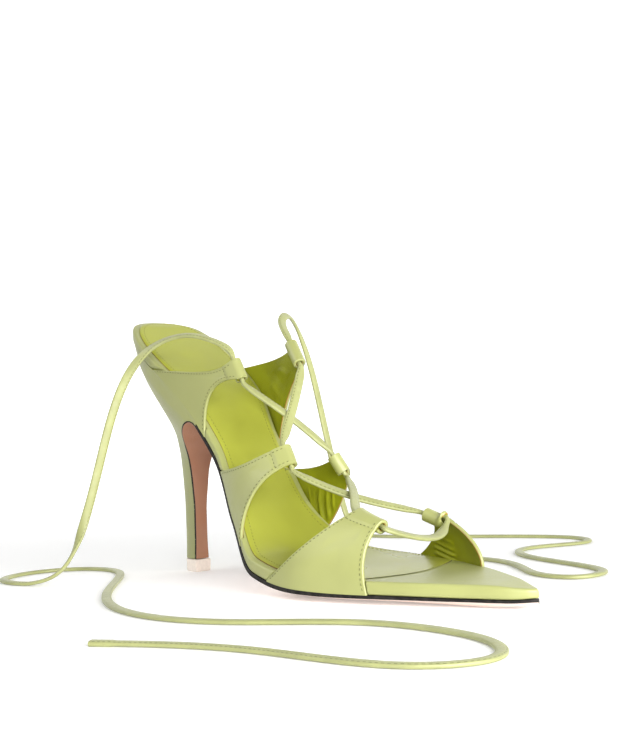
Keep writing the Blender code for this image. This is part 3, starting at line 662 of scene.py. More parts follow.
@material_once
def sock_leather(name, colour):
    """Glazed leather with a fine grain and a clear shine."""
    finish = Finish(name, colour, 0.3, specular_ior_level=0.16, coat_roughness=0.16)
    grain = finish.cells(finish.place(), 1100.0)
    patches = finish.noise(finish.place(), 40.0, 3.0)
    finish.set("Base Color", finish.tones(patches, colour, 0.96, 1.03))
    soft = finish.bump(patches, 0.001, 0.12)
    finish.set("Normal", finish.bump(finish.fade(grain, 0.0, 0.1), 0.00004, 0.3, soft))
    finish.set("Roughness", finish.fade(patches, 0.2, 0.8, 0.26, 0.36))
    finish.set("Coat Weight", finish.fade(patches, 0.2, 0.8, 0.1, 0.05))
    return finish


@material_once
def cut_edge(name, colour):
    """The cut edge of leather, with its fibres."""
    finish = Finish(name, colour, 0.6)
    fibre = finish.noise(finish.place(), 900.0, 3.0)
    finish.set("Base Color", finish.tones(fibre, colour, 0.7, 1.15))
    finish.set("Normal", finish.bump(fibre, 0.0001, 0.5))
    return finish


@material_once
def sole_leather(name, colour, breast):
    """Smooth sole leather with faint pores and long scuffs, darker and browner towards the heel breast.
    """
    finish = Finish(name, colour, 0.45)
    # the colour blends from the breast colour near the heel to the sole colour further forward
    browner_to_breast = finish.mix(finish.fade(finish.axis("X"), 0.03, 0.1), tuple(breast), tuple(colour))
    pores = finish.cells(finish.place(), 900.0)
    patches = finish.noise(finish.place(), 60.0, 4.0)
    scuffs = finish.noise(finish.stretched(1.5, 0.06), 1.0, 3.0)
    dirt = finish.fade(patches, 0.3, 0.7) * 0.1
    finish.set("Base Color", finish.mix(dirt, browner_to_breast, toned(colour, 0.5)))
    soft = finish.bump(scuffs, 0.0002, 0.25)
    finish.set("Normal", finish.bump(finish.fade(pores, 0.0, 0.08), 0.00006, 0.4, soft))
    finish.set("Roughness", finish.fade(scuffs, 0.2, 0.8, 0.38, 0.54))
    return finish


@material_once
def edge_ink(name, colour):
    """Black ink brushed on a leather edge."""
    finish = Finish(name, colour, 0.35, specular_ior_level=0.15)
    brush = finish.noise(finish.place(), 400.0, 3.0)
    finish.set("Base Color", finish.mix(finish.fade(brush, 0.35, 0.75), colour, toned(colour, 2.6)))
    finish.set("Roughness", finish.fade(brush, 0.2, 0.8, 0.45, 0.6))
    finish.set("Normal", finish.bump(brush, 0.0001, 0.4))
    return finish


@material_once
def lift_plastic(name, colour):
    """Dense pale plastic, a little darker towards the tread."""
    finish = Finish(name, colour, 0.4)
    speckle = finish.noise(finish.place(), 700.0, 3.0)
    # a little darker over the lowest few millimetres, towards the tread
    darker_near_tread = finish.fade(finish.axis("Z") + speckle * 0.002, 0.0035, 0.0005)
    tone = finish.tones(speckle, colour, 0.96, 1.04)
    finish.set("Base Color", finish.mix(darker_near_tread * 0.3, tone, toned(colour, 0.8)))
    finish.set("Roughness", finish.fade(speckle, 0.2, 0.8, 0.34, 0.46))
    finish.set("Normal", finish.bump(speckle, 0.00008, 0.3))
    return finish


@material_once
def sewing_thread(name, colour):
    """Twisted thread."""
    finish = Finish(name, colour, 0.55)
    twist = finish.noise(finish.place(), 2500.0, 2.0)
    finish.set("Base Color", finish.tones(twist, colour, 0.8, 1.2))
    finish.set("Normal", finish.bump(twist, 0.00006, 0.6))
    return finish


@material_once
def lace_satin(name, colour, thread, girth):
    """Satin tube sewn along one edge of each face."""
    finish = Finish(name, colour, 0.4, specular_ior_level=0.6)
    around, run = finish.surface()
    dye = finish.noise(finish.place(), 90.0, 2.0)
    cloth = finish.tones(dye, colour, 0.92, 1.06)
    seam = abs(around % (girth / 2) - girth * 0.13)
    dash = abs(run % 1.9 - 0.95)
    stitch = finish.fade(seam, 0.3, 0.16) * finish.fade(dash, 0.55, 0.42)
    finish.set("Base Color", finish.mix(stitch * 0.8, cloth, tuple(thread)))
    furrow = finish.fade(seam, 0.6, 0.0)
    floats = finish.noise(finish.stretched(4.0, 0.5), 1.0, 2.0, 0.6)
    pucker = finish.noise(finish.stretched(0.5, 0.28), 1.0, 2.0)
    soft = finish.bump(pucker - furrow * 0.35, 0.0005, 0.5)
    finish.set("Normal", finish.bump(floats, 0.00008, 0.4, soft))
    finish.set("Roughness", finish.fade(floats, 0.25, 0.75, 0.36, 0.5))
    return finish


@material_once
def floor_paint(name, colour):
    """White ground that glows brighter towards the wall behind."""
    finish = Finish(name, colour, 0.75, specular_ior_level=0.2)
    mottle = finish.noise(finish.place(), 3.0, 2.0)
    finish.set("Base Color", finish.mix(mottle, toned(colour, 0.985), toned(colour, 1.01)))
    behind = finish.node("ShaderNodeVectorMath", {"operation": "DOT_PRODUCT"},
                         {0: finish.place(), 1: (-0.755, 0.656, 0.35)}, "Value")
    glow = finish.mix(finish.fade(behind, 0.0, 0.8), (0.18, 0.18, 0.18), (0.6, 0.6, 0.6))
    finish.set("Emission Color", glow)
    finish.set("Emission Strength", 1.0)
    return finish


def skin(rings, look_of=None):
    """Close a surface over rings of points: a grid laid on the rings, joined along its seam."""
    count, rows = len(rings[0]), len(rings) - 1
    table = np.array(rings, float)
    girth = float(np.linalg.norm(np.roll(table, -1, axis=1) - table, axis=2).sum(axis=1).mean())
    run = float(np.linalg.norm(np.diff(table, axis=0), axis=2).sum(axis=0).mean())
    shape = bmesh.new()
    flat = shape.loops.layers.uv.new("UVMap")
    bmesh.ops.create_grid(shape, x_segments=count, y_segments=rows, size=1.0, calc_uvs=True)
    for vert in shape.verts:
        i = round((vert.co.x + 1.0) / 2.0 * count)
        j = round((vert.co.y + 1.0) / 2.0 * rows)
        vert.co = rings[j][i % count]
    for face in shape.faces:
        middle = sum(loop[flat].uv.x for loop in face.loops) / len(face.loops)
        if look_of is not None:
            face.material_index = look_of(int(middle * count))
        for loop in face.loops:
            loop[flat].uv = (loop[flat].uv.x * girth, loop[flat].uv.y * run)
    bmesh.ops.remove_doubles(shape, verts=shape.verts, dist=MERGE)
    bmesh.ops.holes_fill(shape, edges=[edge for edge in shape.edges if edge.is_boundary])
    bmesh.ops.recalc_face_normals(shape, faces=shape.faces)
    if shape.calc_volume(signed=True) < 0.0:
        bmesh.ops.reverse_faces(shape, faces=shape.faces)
    return shape


def add_piece(name, shape, materials, stands_for=(), crease=50.0):
    """Make a shape in millimetres a piece of the part."""
    bmesh.ops.scale(shape, vec=(MM, MM, MM), verts=shape.verts)
    mesh = bpy.data.meshes.new(name)
    shape.to_mesh(mesh)
    shape.free()
    for material in materials:
        mesh.materials.append(material)
    mesh.shade_smooth()
    mesh.set_sharp_from_angle(angle=math.radians(crease))
    piece = bpy.data.objects.new(name, mesh)
    bpy.context.scene.collection.objects.link(piece)
    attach(piece, "root")
    if stands_for:
        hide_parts(*stands_for)
    return piece


def between(first, second, count):
    """Points inside a straight run, without its ends."""
    a, b = np.array(first, float), np.array(second, float)
    return [a + (b - a) * k / (count + 1) for k in range(1, count + 1)]


def outsole_bottom(x):
    """The visible face under a place on the insole: flat tread, toe spring and shank."""
    spring = TOE_SPRING * max(0.0, (x - TREAD_TO) / (TOE_END - TREAD_TO)) ** TOE_CURVE
    if x >= TREAD_FROM:
        return x, spring
    fall = last("seat_z", x - 0.5) - last("seat_z", x + 0.5)
    length = math.hypot(1.0, fall)
    off_tread = min(1.0, (TREAD_FROM - x) / SHANK_BLEND)
    thick = OUTSOLE_SHANK + (last("seat_z", TREAD_FROM) - OUTSOLE_SHANK) * (1.0 - off_tread) ** 2
    return x - fall / length * thick, max(0.0, last("seat_z", x) - thick / length)


def sole_chain(top, mid, low, side, wide, low_wide):
    """One side of the sole: top corner, inked edge, a narrow inked turn, then the underside."""
    corner = np.array((top[0], side * wide, top[1]))
    edge = np.array((mid[0], side * wide, mid[1]))
    under = np.array((low[0], side * low_wide, low[1]))
    reach = float(np.linalg.norm(under - edge))
    turn = min(INK_TURN / max(reach, 0.01), 0.5)
    chain = [corner, corner + 0.5 * (edge - corner), edge, edge + turn * (under - edge)]
    chain += [edge + t * (under - edge) - np.array((0.0, 0.0, 0.016 * reach * math.sin(math.pi * t)))
              for t in np.linspace(turn, 1.0, 6)[1:-1]]
    return chain + [under]


def sole_ring(top, mid, low, wide, low_wide, centre):
    sides = {}
    for side in (-1, 1):
        chain = sole_chain(top, mid, low, side, wide[side], low_wide[side])
        sides[side] = [point + np.array((0.0, centre, 0.0)) for point in chain]
    lateral, medial = sides[-1], sides[1][::-1]
    under = between(lateral[-1], medial[0], SOLE_UNDER)
    return lateral + under + medial + between(medial[-1], lateral[0], 2)


def fold_curve(t):
    """The rounded fold between the breast (0) and the shank (1): visible face."""
    start = (heel_at("front_x", FOLD_ROW), heel_at("front_z", FOLD_ROW))
    stop = outsole_bottom(FOLD_SHANK)
    return [a * (1 - t) ** 2 + 2 * c * t * (1 - t) + b * t * t
            for a, c, b in zip(start, FOLD_CORNER, stop)]


def fold_half(t, side):
    """Half width of the leather along the fold."""
    return ((1 - t) ** 2 * breast_half(FOLD_ROW, side) + 2 * t * (1 - t) * breast_half(0.0, side)
            + t * t * abs(edge_y(FOLD_SHANK, side)))


def fold_at(x, side):
    """Half width and height of the fold's visible face at a place along the shoe."""
    steps = np.linspace(0.0, 1.0, 60)
    along = [fold_curve(t)[0] for t in steps]
    t = float(np.interp(x, along, steps))
    if x > along[-1]:
        return abs(edge_y(x, side)), outsole_bottom(x)[1]
    return fold_half(t, side), fold_curve(t)[1]


def breast_half(row, side):
    """Half width of the heel's front at a row, drawn out to the seat's outline near the top."""
    seat = heel_at("seat", row)
    return (1 - seat) * heel_at("half", row) + seat * abs(edge_y(HEEL_TOP_FRONT, side, HEEL_INSET))


def outsole_rings():
    rings = []
    for x in stations(FOLD_SHANK, TOE_END, SOLE_SPACING)[::-1]:
        top, low = (x, last("seat_z", x)), outsole_bottom(x)
        thick = math.hypot(top[0] - low[0], top[1] - low[1])
        rim = float(np.interp(x, (TREAD_FROM, TREAD_TO), (OUTSOLE_EDGE, OUTSOLE_TOE_EDGE)))
        part = min(rim, 0.75 * thick) / thick
        mid = (top[0] + (low[0] - top[0]) * part, top[1] + (low[1] - top[1]) * part)
        camber = OUTSOLE_CAMBER * min(max((x - CAMBER_FROM) / CAMBER_OVER, CAMBER_LEAST), 1.0)
        centre = last("centre", x)
        wide = {side: abs(edge_y(x, side) - centre) for side in (-1, 1)}
        low_wide = {side: wide[side] - min(camber, 0.55 * wide[side]) for side in (-1, 1)}
        rings.append(sole_ring(top, mid, low, wide, low_wide, centre))
    for t in np.linspace(1.0, 0.0, FOLD_STEPS)[1:-1]:
        visible, ahead, behind = fold_curve(t), fold_curve(t + 0.01), fold_curve(t - 0.01)
        run = (ahead[0] - behind[0], ahead[1] - behind[1])
        thick = (FLAP_THICK + (OUTSOLE_SHANK - FLAP_THICK) * t) / math.hypot(*run)
        hidden = (visible[0] - run[1] * thick, visible[1] + run[0] * thick)
        halves = {side: fold_half(t, side) for side in (-1, 1)}
        rings.append(flap_ring(hidden, visible, halves))
    for row in np.linspace(FOLD_ROW, len(HEEL_ROWS) - 1, BREAST_STEPS):
        halves = {side: breast_half(row, side) for side in (-1, 1)}
        rings.append(flap_ring(breast_offset(row, FLAP_THICK), breast_offset(row, 0.0), halves))
    return rings


def flap_ring(hidden, visible, halves):
    mid = [back + FLAP_EDGE * (face - back) for back, face in zip(hidden, visible)]
    inner = {side: half - FLAP_ROUND for side, half in halves.items()}
    return sole_ring(hidden, mid, visible, halves, inner, 0.0)


def heel_at(column, row):
    """A size of the heel at a row number, whole or between two."""
    values = [entry[HEEL_COLUMNS.index(column)] for entry in HEEL_ROWS]
    return float(smooth(range(len(values)), values, row))


def breast_offset(row, distance):
    """A point behind the breast's visible face, square to it."""
    place = (heel_at("front_x", row), heel_at("front_z", row))
    end = len(HEEL_ROWS) - 1
    low, high = max(row - 0.5, 0.0), min(row + 0.5, end)
    run = [heel_at(column, high) - heel_at(column, low) for column in ("front_x", "front_z")]
    length = math.hypot(*run)
    level = share(row, end - 1.0, 1.0)
    way = (run[1] / length * (1 - level) - level, -run[0] / length * (1 - level))
    return place[0] + way[0] * distance, place[1] + way[1] * distance


def heel_ring(front, back, half, seat):
    """A D section from the breast to the back, drawn out to the seat's outline near the top."""
    chain = {-1: [], 1: []}
    for k in range(HEEL_STEPS + 1):
        turn = k / HEEL_STEPS * math.pi / 2
        reach = math.sin(turn)
        x = front[0] + reach * (back[0] - front[0])
        z = front[1] + reach * (back[1] - front[1])
        plain = half * math.cos(turn) ** HEEL_D_POWER
        seat_x = HEEL_TOP_FRONT + reach * (HEEL_END + HEEL_INSET - HEEL_TOP_FRONT)
        for side in (-1, 1):
            wide = abs(edge_y(seat_x, side, HEEL_INSET)) if seat else 0.0
            chain[side].append((x, side * ((1 - seat) * plain + seat * wide), z))
    chain[-1][-1] = (chain[-1][-1][0], 0.0, chain[-1][-1][2])
    return chain[-1] + chain[1][-2::-1]


@functools.cache
def heel_rings():
    """The heel's cover from the seat down to the top lift."""
    end = HEEL_END + HEEL_INSET
    seat = heel_ring((HEEL_TOP_FRONT, 0.0), (end, 0.0), 0.0, 1.0)
    top = [(x, y, last("seat_z", x)) for x, y, _ in seat]
    rows = []
    for row in np.linspace(0.0, len(HEEL_ROWS) - 1, HEEL_LEVELS):
        back = (heel_at("back_x", row), heel_at("back_z", row))
        front = breast_offset(row, FLAP_EDGE * FLAP_THICK)
        if row < FOLD_ROW:
            front = (front[0], fold_at(front[0], 1)[1] + FLAP_EDGE * FLAP_THICK)
        rows.append(heel_ring(front, back, heel_at("half", row), heel_at("seat", row)))
    fall = [[tuple(np.array(a) + t * (np.array(b) - np.array(a))) for a, b in zip(top, rows[0])]
            for t in (0.0, 0.25, 0.5, 0.75)]
    return fall + rows


class SANDAL_OT_outsole(bpy.types.Operator):
    """Leather sole with an inked edge, and its flap down the heel breast"""
    bl_idname = "sandal.outsole"
    bl_label = "Outsole"

    def execute(self, context):
        look = looks()
        materials = [sole_leather("sole_leather", look.sole, look.breast), edge_ink("edge_ink", look.ink)]
        shape = skin(outsole_rings(), self.look_of)
        add_piece("outsole_leather", shape, materials, ("outsole",), 35.0)
        return {"FINISHED"}

    @staticmethod
    def look_of(column):
        """Ink on both edges and their narrow turn, and on the hidden top between them."""
        return 0 if INK_LATERAL <= column < INK_MEDIAL else 1


class SANDAL_OT_heel(bpy.types.Operator):
    """Satin-covered heel"""
    bl_idname = "sandal.heel"
    bl_label = "Heel"

    def execute(self, context):
        satin = satin_cloth("satin", looks().satin)
        add_piece("heel_cover", skin(heel_rings()), [satin], ("heel",), 40.0)
        return {"FINISHED"}


class SANDAL_OT_top_lift(bpy.types.Operator):
    """Pale walking piece under the heel"""
    bl_idname = "sandal.top_lift"
    bl_label = "Top lift"

    def execute(self, context):
        rings = [heel_ring((LIFT_FRONT + grow, z), (LIFT_BACK - grow, z), LIFT_HALF + grow, 0.0)
                 for z, grow in LIFT_PROFILE]
        plastic = lift_plastic("lift_plastic", looks().lift)
        add_piece("lift", skin(rings), [plastic], ("top_lift",), 40.0)
        return {"FINISHED"}


class SANDAL_OT_insole(bpy.types.Operator):
    """Insole board wrapped in satin"""
    bl_idname = "sandal.insole"
    bl_label = "Insole"

    def execute(self, context):
        rings = []
        for x in stations(HEEL_END, TOE_END, INSOLE_SPACING):
            sides = {}
            for side in (-1, 1):
                chain = []
                for inset, up in INSOLE_RIM:
                    recess = wing_recess(x, side, up * INSOLE_THICK) if x > 0 else 0.0
                    squarer = 1.0 - 0.6 * min(recess / WING_THICK, 1.0)
                    px, py = rim_point(x, side, inset * squarer + recess)
                    low = last("seat_z", px) + 0.15
                    chain.append(np.array((px, py, low + up * (insole_top(px) + WRAP_SWELL - low))))
                sides[side] = chain
            lateral, medial = sides[-1], sides[1][::-1]
            top = between(lateral[-1], medial[0], 14)
            for point in top:
                point[2] = insole_top(point[0]) + WRAP_SWELL
            rings.append(lateral + top + medial + between(medial[-1], lateral[0], 2))
        add_piece("insole_wrap", skin(rings), [satin_cloth("satin", looks().satin)], ("insole",))
        return {"FINISHED"}


def sock_edge(plain, side, further=0.0):
    """A place on the sock's outline, or set further in."""
    margin = float(np.interp(plain, *zip(*SOCK_MARGIN))) if side > 0 else 0.0
    return rim_point(plain, side, SOCK_INSET + margin + further)


def sock_top(x):
    return insole_top(x) + SEAT_GAP + SOCK_THICK


class SANDAL_OT_sock(bpy.types.Operator):
    """Glazed leather sock on the insole"""
    bl_idname = "sandal.sock"
    bl_label = "Sock"

    def execute(self, context):
        across = np.sin(np.linspace(-1.0, 1.0, SOCK_ACROSS) * math.pi / 2)
        plan = np.array([[self.place(plain, (part + 1.0) / 2.0) for part in across]
                         for plain in stations(HEEL_END, SOCK_FRONT, SOCK_SPACING)])
        border = np.concatenate([plan[:, 0], plan[:, -1], plan[0], plan[-1]])
        rings = []
        for row in plan:
            inside = np.linalg.norm(row[:, None] - border[None], axis=2).min(axis=1)
            pared = np.clip((row[:, 0] - SOCK_FRONT + SOCK_PARED) / SOCK_PARED, 0.0, 1.0) ** 2
            rounded = np.clip(1.0 - inside / SOCK_ROUND, 0.0, 1.0) ** 2
            drop = SOCK_THICK * (0.6 * rounded * (1 - pared) + 0.7 * pared)
            upper = [(x, y, sock_top(x) - fall) for (x, y), fall in zip(row, drop)]
            lower = [(x, y, insole_top(x) + 0.05) for x, y in row[::-1]]
            rings.append(upper + lower)
        shape = skin(rings, lambda column: int(column >= len(across) - 1))
        for face in shape.faces:
            if face.calc_center_median().x > SOCK_FRONT - SOCK_BOW and abs(face.normal.z) < 0.6:
                face.material_index = 2
        look = looks()
        materials = [sock_leather("sock_leather", look.sock), cut_edge("sock_edge", look.sock_edge),
                     cut_edge("sock_front_edge", look.sock_front)]
        add_piece("sock_lining", shape, materials, ("sock",), 45.0)
        return {"FINISHED"}

    @staticmethod
    def place(plain, part):
        """A place in plan, the rows bowed towards the front."""
        bow = SOCK_BEND * share(plain, SOCK_BEND_FROM, SOCK_BEND_OVER) ** 2
        lateral, medial = sock_edge(plain, -1), sock_edge(plain, 1)
        x = lateral[0] + part * (medial[0] - lateral[0])
        y = lateral[1] + part * (medial[1] - lateral[1])
        if bow:
            x = plain - bow * (y - SOCK_BEND_Y) ** 2
            low, high = sock_edge(x, -1)[1], sock_edge(x, 1)[1]
            y = low + part * (high - low)
        return x, y


def crease_depth(name, layer, across, up):
    """Sum of the listed creases at a place on a wing."""
    depth = 0.0
    for a0, u0, a1, u1, half, height in CREASES.get((name, layer), CREASES.get((name, "both"), ())):
        run = np.array((a1 - a0, u1 - u0))
        off = np.array((across - a0, up - u0))
        t = float(off @ run / (run @ run))
        if 0.0 < t < 1.0:
            away = float(np.linalg.norm(off - t * run))
            depth += height * math.exp(-(away / half) ** 2) * (1.0 - abs(2 * t - 1.0) ** 4)
    return depth


def tab_seam(name):
    return TAB_SEAM[name.split("_")[0]]


def outer_depth(name, across, up):
    """How far a wing's satin stands off its plain form: creases, and the seam under the tab."""
    above = up - tab_seam(name)
    seam = -SEAM_DEPTH * math.exp(-(above / SEAM_HALF) ** 2)
    doubled = TAB_STEP * share(above, 0.0, TAB_STEP_OVER)
    return (crease_depth(name, "satin", across, up) + seam + doubled) * min((1.0 - up) * LOOP_FADE, 1.0)


class SANDAL_OT_wings(bpy.types.Operator):
    """Six wings of satin and lining leather, each rolled into a loop"""
    bl_idname = "sandal.wings"
    bl_label = "Wings"
    hem_steps, across_steps, rise_steps, loop_steps = 8, 64, 72, 32

    def execute(self, context):
        look = looks()
        materials = [satin_cloth("satin", look.satin), lining_leather("wing_lining", look.lining),
                     cut_edge("lining_edge", look.lining_edge)]
        for wing in WINGS.values():
            shape = skin(self.rings(wing), self.look_of)
            add_piece(wing["name"] + "_wing", shape, materials, (wing["name"],), 60.0)
        return {"FINISHED"}

    def look_of(self, column):
        """Satin outside and round the fold, cut edge, then lining."""
        steps = self.across_steps
        if column < steps + 3 or column >= 2 * steps + 5:
            return 0
        if column == steps + 3:
            return 2
        return 1

    def rings(self, wing):
        middle = self.middle_layer(wing)
        across = np.gradient(middle, axis=1)
        rising = np.gradient(middle, axis=0)
        across /= np.linalg.norm(across, axis=2, keepdims=True)
        out = np.cross(across, rising) * -wing["side"]
        out /= np.linalg.norm(out, axis=2, keepdims=True)
        half, turn = WING_THICK / 2, sizes().edge_round / MM
        rings = []
        for j in range(len(middle)):
            up = share(j, self.hem_steps, self.rise_steps)
            row, way, normal = middle[j].copy(), across[j], out[j]
            row[0] += turn * way[0]
            row[-1] -= turn * way[-1]
            places = np.linspace(0.0, 1.0, len(row))
            outside = np.array([outer_depth(wing["name"], place, up) for place in places])
            inside = np.array([crease_depth(wing["name"], "lining", place, up) for place in places])
            fades = np.clip((1.0 - up) * LOOP_FADE, 0.0, 1.0)
            outer = row + normal * (half + outside)[:, None]
            inner = row - normal * (half - inside * fades)[:, None]
            bends = np.linspace(0.0, math.pi, 5)[1:-1]
            front = [row[-1] + normal[-1] * half * math.cos(t) + way[-1] * turn * math.sin(t)
                     for t in bends]
            rear = [row[0] - normal[0] * half * math.cos(t) - way[0] * turn * math.sin(t)
                    for t in bends]
            ring = list(outer) + front + list(inner[::-1]) + rear
            shut = list(row) + [row[-1]] * len(bends) + list(row[::-1]) + [row[0]] * len(bends)
            if j == 0:
                rings.append(shut)
            rings.append(ring)
        rings.append(shut)
        return rings

    def middle_layer(self, wing):
        places = [i / self.across_steps for i in range(self.across_steps + 1)]
        rows = [[tuple(wing_hem(wing, place, part)) for place in places]
                for part in np.linspace(0.0, 1.0, self.hem_steps, endpoint=False)]
        for k in range(self.rise_steps + 1):
            up = k / self.rise_steps
            rows.append([tuple(wing_point(wing, place, up)) for place in places])
        frames = [loop_frame(wing, place) for place in places]
        for k in range(1, self.loop_steps + 1):
            turn = k / self.loop_steps * LOOP_TURN
            round_in, round_on = LOOP_RADIUS * (1 - math.cos(turn)), LOOP_RADIUS * math.sin(turn)
            rows.append([tuple(end + round_in * inward + round_on * heading)
                         for end, heading, inward, _ in frames])
        return np.array(rows)


class SANDAL_OT_stitching(bpy.types.Operator):
    """Rows of stitches along the wings' edges, across their tabs and round the sock"""
    bl_idname = "sandal.stitching"
    bl_label = "Stitching"

    def execute(self, context):
        thread = sewing_thread("thread", looks().thread)
        inset = sizes().stitch_inset / MM
        for wing in WINGS.values():
            shape = bmesh.new()
            spans = {}
            for up in np.linspace(0.0, 1.0, 101):
                spans[up] = inset / (wing_point(wing, 1.0, up) - wing_point(wing, 0.0, up)).length
            rear = [(spans[up], up) for up in spans if 0.02 < up < 1.0]
            front = [(1.0 - spans[up], up) for up in spans if 0.02 < up < 1.0]
            seam = tab_seam(wing["name"])
            ends = np.interp(seam, list(spans), list(spans.values()))
            tab = [(place, seam) for place in np.linspace(ends, 1.0 - ends, 60)]
            for line in (rear, front, tab):
                self.sew(shape, [self.on_wing(wing, *place) for place in line])
            add_piece(wing["name"] + "_stitches", shape, [thread])
        shape = bmesh.new()
        for side in (-1, 1):
            border = stations(HEEL_END, SOCK_FRONT - SOCK_SEWN, 1.0)
            self.sew(shape, [self.on_sock(x, side) for x in border])
        add_piece("sock_stitches", shape, [sewing_thread("sock_thread", looks().sock_thread)])
        return {"FINISHED"}

    @staticmethod
    def on_wing(wing, across, up):
        place, _, _, out = wing_frame(wing, across, up)
        lift = WING_THICK / 2 + 0.03 + outer_depth(wing["name"], across, up)
        return place + out * lift, out

    @staticmethod
    def on_sock(x, side):
        x, y = sock_edge(x, side, SOCK_STITCH)
        slope = sock_top(x + 0.5) - sock_top(x - 0.5)
        return Vector((x, y, sock_top(x))), Vector((-slope, 0.0, 1.0)).normalized()

    @staticmethod
    def sew(shape, line):
        """Lay stitches along a line of places, each with its way out."""
        size = sizes()
        half = np.array((size.stitch_length, size.stitch_width, size.stitch_width)) / MM / 2
        points = np.array([tuple(place) for place, _ in line])
        run = np.concatenate([[0.0], np.cumsum(np.linalg.norm(np.diff(points, axis=0), axis=1))])
        for at in np.arange(1.0, run[-1], size.stitch_pitch / MM):
            nearest = int(np.searchsorted(run, at).clip(1, len(run) - 1))
            place = Vector([float(np.interp(at, run, points[:, k])) for k in range(3)])
            along = Vector(points[nearest] - points[nearest - 1]).normalized()
            aside = line[nearest][1].cross(along).normalized()
            ways = (along * half[0], aside * half[1], along.cross(aside) * half[2])
            turn = Matrix(ways).transposed().to_4x4()
            turn.translation = place
            bmesh.ops.create_uvsphere(shape, u_segments=6, v_segments=4, radius=1.0, matrix=turn)


def lace_rings(points, near_loops, tip=False):
    """Rings of a flat lace along points, bunched where it runs through a loop."""
    size = sizes()
    wide, thick = size.lace_width / MM, size.lace_thickness / MM
    bunched = size.lace_bunched / MM
    ahead = np.gradient(points, axis=0)
    ahead /= np.linalg.norm(ahead, axis=1, keepdims=True)
    height = np.clip((points[:, 2:] - LEAN_FROM) / LEAN_OVER, 0.0, 1.0)
    face = np.concatenate([LACE_LEAN * height, 0.0 * height, 1.0 - (1.0 - LACE_LEAN) * height], axis=1)
    flat = np.cross(face, ahead)
    flat[np.linalg.norm(flat, axis=1) < 0.2] = 0.0
    for _ in range(12):
        flat[1:-1] = (flat[:-2] + 2 * flat[1:-1] + flat[2:]) / 4
    flat -= ahead * (flat * ahead).sum(axis=1, keepdims=True)
    flat /= np.linalg.norm(flat, axis=1, keepdims=True)
    up = np.cross(ahead, flat)
    loops = np.array([tuple(loop) for loop in near_loops])
    rings = []
    left = np.linalg.norm(np.diff(points, axis=0), axis=1)[::-1].cumsum()[::-1]
    for i, point in enumerate(points):
        away = float(np.linalg.norm(loops - point, axis=1).min())
        open_out = ease(share(away, OPEN_FROM, OPEN_OVER))
        a, b = bunched + (wide - bunched) * open_out, thick
        if tip and (i == len(points) - 1 or left[i] < TIP_LONG):
            a, b = a + TIP_WIDER, b + TIP_THICKER
        ring = []
        for k in range(LACE_SIDES):
            turn = 2 * math.pi * k / LACE_SIDES
            c, s = math.cos(turn), math.sin(turn)
            ring.append(point + flat[i] * a / 2 * math.copysign(abs(c) ** 0.7, c)
                        + up[i] * b / 2 * math.copysign(abs(s) ** 0.75, s))
        rings.append(ring)
    return rings


def lace_look():
    look = looks()
    girth = 2 * (sizes().lace_width + sizes().lace_thickness) / MM * 0.9
    return lace_satin("lace_satin", look.lace, look.thread, girth)


class SANDAL_OT_lacing(bpy.types.Operator):
    """Lace through the loops, from one rear loop to the other"""
    bl_idname = "sandal.lacing"
    bl_label = "Lacing"

    def execute(self, context):
        route = [loop_middle("quarter_lateral")]
        for first, leaving, second, arriving, meet, over in LACING:
            (a, a_out), (b, b_out) = loop_mouth(first, leaving), loop_mouth(second, arriving)
            if meet:
                middle, turn_in = Vector(meet) + over * LACE_OVER, b + LACE_STEM * b_out
            else:
                middle, turn_in = (a + b) / 2 + Vector(TOE_BAR_REACH), b + Vector(TOE_BAR_TURN)
            route += [a, a + LACE_STEM * a_out, middle, turn_in, b]
        route.append(loop_middle("quarter_medial"))
        points = curve_through(route, LACE_SPACING)
        rings = lace_rings(points, [loop_middle(name) for name in WINGS])
        stands_for = ("lace_toe", "lace_cross_front", "lace_cross_instep")
        add_piece("lacing", skin(rings), [lace_look()], stands_for)
        return {"FINISHED"}


class SANDAL_OT_free_ends(bpy.types.Operator):
    """The lace's two long ends, let down on the floor"""
    bl_idname = "sandal.free_ends"
    bl_label = "Free ends"

    def execute(self, context):
        for side, route in (("lateral", LATERAL_END), ("medial", MEDIAL_END)):
            name = "quarter_" + side
            mouth, out = loop_mouth(name, "rear")
            lying = [(*place, LACE_REST)[:3] for place in route]
            start = [loop_middle(name), mouth, mouth + END_STEM * out]
            points = curve_through(start + lying, END_SPACING)
            points[:, 2] = np.maximum(points[:, 2], sizes().lace_thickness / MM / 2 + FLOOR_CLEAR)
            rings = lace_rings(points, [loop_middle(name)], tip=True)
            piece = add_piece("lace_" + side, skin(rings), [lace_look()], ("lace_end_" + side,))
            mouth * MM
        return {"FINISHED"}


